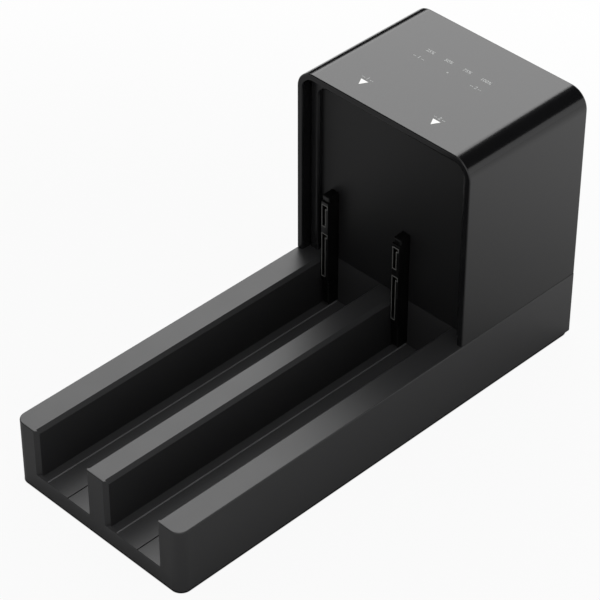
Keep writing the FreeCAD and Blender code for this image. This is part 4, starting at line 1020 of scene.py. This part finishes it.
@dataclass
class Electronics:
    """The three boards with what is soldered to them."""

    workshop: Workshop
    finishes: dict[str, Finish] = field(default_factory=lambda: {
        "drive_board": SOLDER_MASK,
        "main_board": SOLDER_MASK,
        "lamp_board": SOLDER_MASK,
        "controller_chip": EPOXY_PACKAGE,
        "memory_chip": EPOXY_PACKAGE,
        "drive_power_inductors": EPOXY_PACKAGE,
        "crystal": NICKEL_PLATE,
        "power_capacitors": ALUMINIUM_CAN,
        "board_link_header": PORT_NYLON,
        "lamp_link_header": PORT_NYLON,
        "status_lamps": LAMP_RESIN,
        "light_guides": CLEAR_ACRYLIC,
    })

    def build(self) -> None:
        """Dresses the boards and fits their screws."""
        self.workshop.dress(self.finishes)
        turn_screws(self.workshop, "board_screws")


@dataclass
class PortsAndControls:
    """The data and power inlets, the power rocker and the duplicate button in the tray's back.

    Lengths are in millimetres, and the rocker's are counted from its pivot.
    """

    workshop: Workshop
    pivot: np.ndarray
    rocker_half: float = 4.9
    rocker_face: float = 3.7
    rocker_dip: float = 0.9
    rocker_tilt_deg: float = 10.0
    mark_height: float = 2.8
    ink: float = 0.05
    ink_sink: float = 0.02
    finishes: dict[str, Finish] = field(default_factory=lambda: {
        "usb_shell": NICKEL_PLATE,
        "usb_insert": PORT_NYLON,
        "usb_contacts": GOLD_PLATE,
        "power_jack": PORT_NYLON,
        "power_jack_pin": NICKEL_PLATE,
        "power_jack_spring": GOLD_PLATE,
        "switch_frame": PORT_NYLON,
        "switch_terminals": GOLD_PLATE,
        "power_rocker": PORT_NYLON,
        "duplicate_button": HOOD_ABS,
        "duplicate_switch": PORT_NYLON,
        "duplicate_switch_plunger": PORT_NYLON,
    })

    def mark_rocker(self) -> None:
        """Prints the bar and the ring on the two halves of the rocker's hollow face.

        Each half is flat and falls to the middle at the angle whose tangent is the dip over half
        the length. The whole rocker is tilted clockwise, seen from above.
        """
        tilt = -math.radians(self.rocker_tilt_deg)
        slope = math.atan2(self.rocker_dip, self.rocker_half)
        marks = []
        for words, side in (("I", -1), ("O", 1)):
            points, faces = self.workshop.lettering(words, self.mark_height, self.ink)
            flat = Facing.BACK.place(points, np.array((0.0, -self.ink_sink, 0.0)))
            middle = np.array((side * self.rocker_half / 2, self.rocker_face - self.rocker_dip / 2, 0.0))
            on_half = flat @ self.turn(side * slope) + middle
            marks.append((on_half @ self.turn(tilt) + self.pivot, faces))
        self.workshop.piece("rocker_marks", together(marks), WHITE_INK, "port_black", Body.ROCKER)

    @staticmethod
    def turn(angle: float) -> np.ndarray:
        """Returns the turn about Z by an angle, anticlockwise from above, for rows of x, y, z."""
        cosine, sine = math.cos(angle), math.sin(angle)
        return np.array([(cosine, sine, 0.0), (-sine, cosine, 0.0), (0.0, 0.0, 1.0)])

    def build(self) -> None:
        """Dresses the ports and the controls and marks the rocker."""
        self.workshop.dress(self.finishes)
        self.mark_rocker()


@dataclass(frozen=True)
class BlackCard:
    """A black card that only gloss mirrors, as studios hang them to draw dark edge lines.

    Its spot and its two sides are in metres.
    """

    name: str
    spot: tuple[float, float, float]
    width: float
    height: float

    def make(self) -> bpy.types.Object:
        """Makes the card as a flat black sheet that neither the camera nor diffuse light sees.

        Returns:
            The card, not yet in the scene.
        """
        mesh = flat_sheet(self.name, self.width, self.height)
        material = bare_material(self.name)
        tree = material.node_tree
        black = add_node(tree, "ShaderNodeBsdfDiffuse", None, {"Color": (0.0, 0.0, 0.0, 1.0)})
        add_node(tree, "ShaderNodeOutputMaterial", None, {"Surface": black.outputs[0]})
        mesh.materials.append(material)
        card = bpy.data.objects.new(self.name, mesh)
        card.visible_camera = False
        card.visible_diffuse = False
        card.visible_shadow = False
        return card


@dataclass
class Studio:
    """Camera, lamp, world, floor and black cards round the object.

    The camera stands where the photograph's did. Its place and its two angles come from a fit of
    the body's edges, and its focal length is in pixels of the 600 pixel wide photograph. The half
    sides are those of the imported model's foot, which is centred on the origin. Lengths with no
    unit in their name are in metres.
    """

    half_sides: tuple[float, float]
    yaw_deg: float = 45.22
    pitch_deg: float = 38.83
    camera_mm: tuple[float, float, float] = (562.0, -559.8, 689.7)
    focal_px: float = 2672.5
    photo_width_px: float = 600.0
    sensor_mm: float = 36.0
    clip_m: tuple[float, float] = (0.05, 50.0)
    floor_side_m: float = 12.0
    softbox_spot: tuple[float, float, float] = (-1.25, 1.3, 1.55)
    softbox_width: float = 1.4
    softbox_radiance: float = 2.42
    fill: float = 0.9
    paper_shown: float = 0.94
    paper_tone: float = 0.9
    # Painted shade on the paper round the object: its tone, its middle and the reach over which it fades
    # into the paper.
    painted_shade_tone: float = 0.29
    painted_shade_middle: tuple[float, float, float] = (-0.055, -0.075, 0.0)
    painted_shade_reach: tuple[float, float] = (0.13, 0.42)
    gap_round_m: float = 0.0045
    gap_reach_m: tuple[float, float] = (-0.0001, 0.0002)
    aim: tuple[float, float, float] = (0.0, 0.04, 0.08)
    cards: tuple[BlackCard, ...] = (
        BlackCard("right_card", (0.64, 0.865, 1.154), 3.0, 1.25),
        BlackCard("left_card", (-0.95, 0.66, 0.25), 0.5, 0.5),
        BlackCard("front_card", (-0.75, -0.75, 0.8), 2.4, 1.7),
    )

    def place_camera(self) -> None:
        """Makes the camera at the photograph's place and angle."""
        yaw, pitch = math.radians(self.yaw_deg), math.radians(self.pitch_deg)
        forward = Vector((
            -math.sin(yaw) * math.cos(pitch), math.cos(yaw) * math.cos(pitch), -math.sin(pitch)))
        right = Vector((math.cos(yaw), math.sin(yaw), 0.0))
        data = bpy.data.cameras.new("photo_camera")
        data.sensor_width = self.sensor_mm
        data.lens = self.focal_px * self.sensor_mm / self.photo_width_px
        data.clip_start, data.clip_end = self.clip_m
        camera = bpy.data.objects.new("photo_camera", data)
        turn = Matrix((right, right.cross(forward), -forward)).transposed().to_4x4()
        camera.matrix_world = Matrix.Translation(Vector(self.camera_mm) * MM) @ turn
        bpy.context.scene.collection.objects.link(camera)
        bpy.context.scene.camera = camera

    def hang(self, thing: bpy.types.Object, spot: tuple[float, float, float]) -> None:
        """Hangs a lamp or a card at a spot so that its -Z side faces the tower.

        Args:
            thing: The lamp or the card.
            spot: Where it hangs, in metres.
        """
        aim = Vector(self.aim) - Vector(spot)
        turn = aim.to_track_quat("-Z", "Y").to_matrix().to_4x4()
        thing.matrix_world = Matrix.Translation(Vector(spot)) @ turn
        bpy.context.scene.collection.objects.link(thing)

    def hang_softbox(self) -> None:
        """Hangs the softbox, whose face is as bright as its radiance says, where 1 is a white wall."""
        data = bpy.data.lights.new("top_softbox", "AREA")
        data.shape = "SQUARE"
        data.size = self.softbox_width
        data.energy = self.softbox_radiance * math.pi * self.softbox_width ** 2
        self.hang(bpy.data.objects.new("top_softbox", data), self.softbox_spot)

    def make_world(self) -> None:
        """White to the camera, in reflections and through clear parts, a dimmer fill otherwise."""
        world = bpy.data.worlds.new("white_studio")
        world.use_nodes = True
        tree = world.node_tree
        tree.nodes.clear()
        path = add_node(tree, "ShaderNodeLightPath")
        seen = add_node(tree, "ShaderNodeMath", {"operation": "MAXIMUM"}, {
            0: path.outputs["Is Camera Ray"], 1: path.outputs["Is Glossy Ray"]})
        shown = add_node(tree, "ShaderNodeMath", {"operation": "MAXIMUM"}, {
            0: seen.outputs[0], 1: path.outputs["Is Transmission Ray"]})
        strength = add_node(tree, "ShaderNodeMapRange", None, {
            "Value": shown.outputs[0], "To Min": self.fill, "To Max": 1.0})
        background = add_node(tree, "ShaderNodeBackground", None, {
            "Color": (1.0, 1.0, 1.0, 1.0), "Strength": strength.outputs["Result"]})
        add_node(tree, "ShaderNodeOutputWorld", None, {"Surface": background.outputs[0]})
        bpy.context.scene.world = world

    def shade_gap(self, tree: bpy.types.NodeTree, place: bpy.types.Node) -> bpy.types.Node:
        """Works out the open floor and the gap under the object that gets a painted contact shadow.

        The distance past a rounded rectangle is the length of |x| and |y| less the half sides
        without their rounding, none below zero, and then less the rounding.

        Args:
            tree: The floor material's node tree.
            place: Its texture coordinates.

        Returns:
            The node whose result is 0 in the gap and 1 on the open floor.
        """
        flat = (*(half - self.gap_round_m for half in self.half_sides), 0.0)
        mirrored = add_node(tree, "ShaderNodeVectorMath", {"operation": "ABSOLUTE"}, {
            0: place.outputs["Object"]})
        past = add_node(tree, "ShaderNodeVectorMath", {"operation": "SUBTRACT"}, {
            0: mirrored.outputs[0], 1: flat})
        outside = add_node(tree, "ShaderNodeVectorMath", {"operation": "MAXIMUM"}, {
            0: past.outputs[0], 1: (0.0, 0.0, 0.0)})
        length = add_node(tree, "ShaderNodeVectorMath", {"operation": "LENGTH"}, {
            0: outside.outputs[0]})
        near, far = (self.gap_round_m + reach for reach in self.gap_reach_m)
        return add_node(tree, "ShaderNodeMapRange", None, {
            "Value": length.outputs["Value"], "From Min": near, "From Max": far})

    def make_floor(self) -> None:
        """A white sweep that keeps the object's soft shadow.

        To the camera most of the paper is flat white, and the small rest is its own tone as it is
        lit, which carries the shadow. Round the object the paper's tone is darkened as painted shade,
        which fades out into the paper. Only gloss and stray light see this painted shade at its full
        depth, so that the sides mirror it darker towards their foot. In the gap under the tray the
        paper is dark to the camera too, a painted contact shadow that draws the thin line that the
        object stands on.
        """
        mesh = flat_sheet("white_floor", self.floor_side_m, self.floor_side_m)
        floor = bpy.data.objects.new("white_floor", mesh)
        bpy.context.scene.collection.objects.link(floor)
        material = bare_material("white paper sweep")
        tree = material.node_tree
        path = add_node(tree, "ShaderNodeLightPath")
        place = add_node(tree, "ShaderNodeTexCoord")
        # Painted contact shadow: in the gap both the camera's white share and the paper's tone go to zero.
        open_floor = self.shade_gap(tree, place)
        shown = add_node(tree, "ShaderNodeMath", {"operation": "MULTIPLY"}, {
            0: path.outputs["Is Camera Ray"], 1: self.paper_shown})
        share = add_node(tree, "ShaderNodeMath", {"operation": "MULTIPLY"}, {
            0: shown.outputs[0], 1: open_floor.outputs["Result"]})
        # Painted shade: the paper's tone falls towards the object's middle.
        reach = add_node(tree, "ShaderNodeVectorMath", {"operation": "DISTANCE"}, {
            0: place.outputs["Object"], 1: self.painted_shade_middle})
        tone = add_node(tree, "ShaderNodeMapRange", {"interpolation_type": "SMOOTHSTEP"}, {
            "Value": reach.outputs["Value"], "From Min": self.painted_shade_reach[0], "From Max": self.painted_shade_reach[1],
            "To Min": self.painted_shade_tone, "To Max": self.paper_tone})
        shaded = add_node(tree, "ShaderNodeMath", {"operation": "MULTIPLY"}, {
            0: tone.outputs["Result"], 1: open_floor.outputs["Result"]})
        paper = add_node(tree, "ShaderNodeBsdfDiffuse", None, {"Color": shaded.outputs[0]})
        glow = add_node(tree, "ShaderNodeEmission", None, {"Strength": 1.0})
        mixed = add_node(tree, "ShaderNodeMixShader", None, {
            0: share.outputs[0], 1: paper.outputs[0], 2: glow.outputs[0]})
        add_node(tree, "ShaderNodeOutputMaterial", None, {"Surface": mixed.outputs[0]})
        mesh.materials.append(material)
        floor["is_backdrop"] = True

    def build(self) -> None:
        """Sets up the whole studio."""
        self.place_camera()
        self.make_world()
        self.make_floor()
        self.hang_softbox()
        for plan in self.cards:
            card = plan.make()
            self.hang(card, plan.spot)
            card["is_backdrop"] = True
        bpy.context.scene.view_settings.view_transform = "Standard"
        log.info("studio ready")


def main() -> None:
    """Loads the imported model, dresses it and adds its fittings."""
    logging.basicConfig(level=logging.INFO, format="%(message)s")
    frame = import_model()
    packed_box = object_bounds()
    workshop = Workshop(frame["nodes"])
    hinge = next(joint for joint in frame["joints"] if joint["child"] == Body.ROCKER.value)
    Studio(tuple(packed_box[1])[:2]).build()
    Housing(workshop).build()
    DriveSockets(workshop).build()
    Electronics(workshop).build()
    PortsAndControls(workshop, np.array(hinge["pos_m"]) / MM).build()


if __name__ == "__main__":
    main()
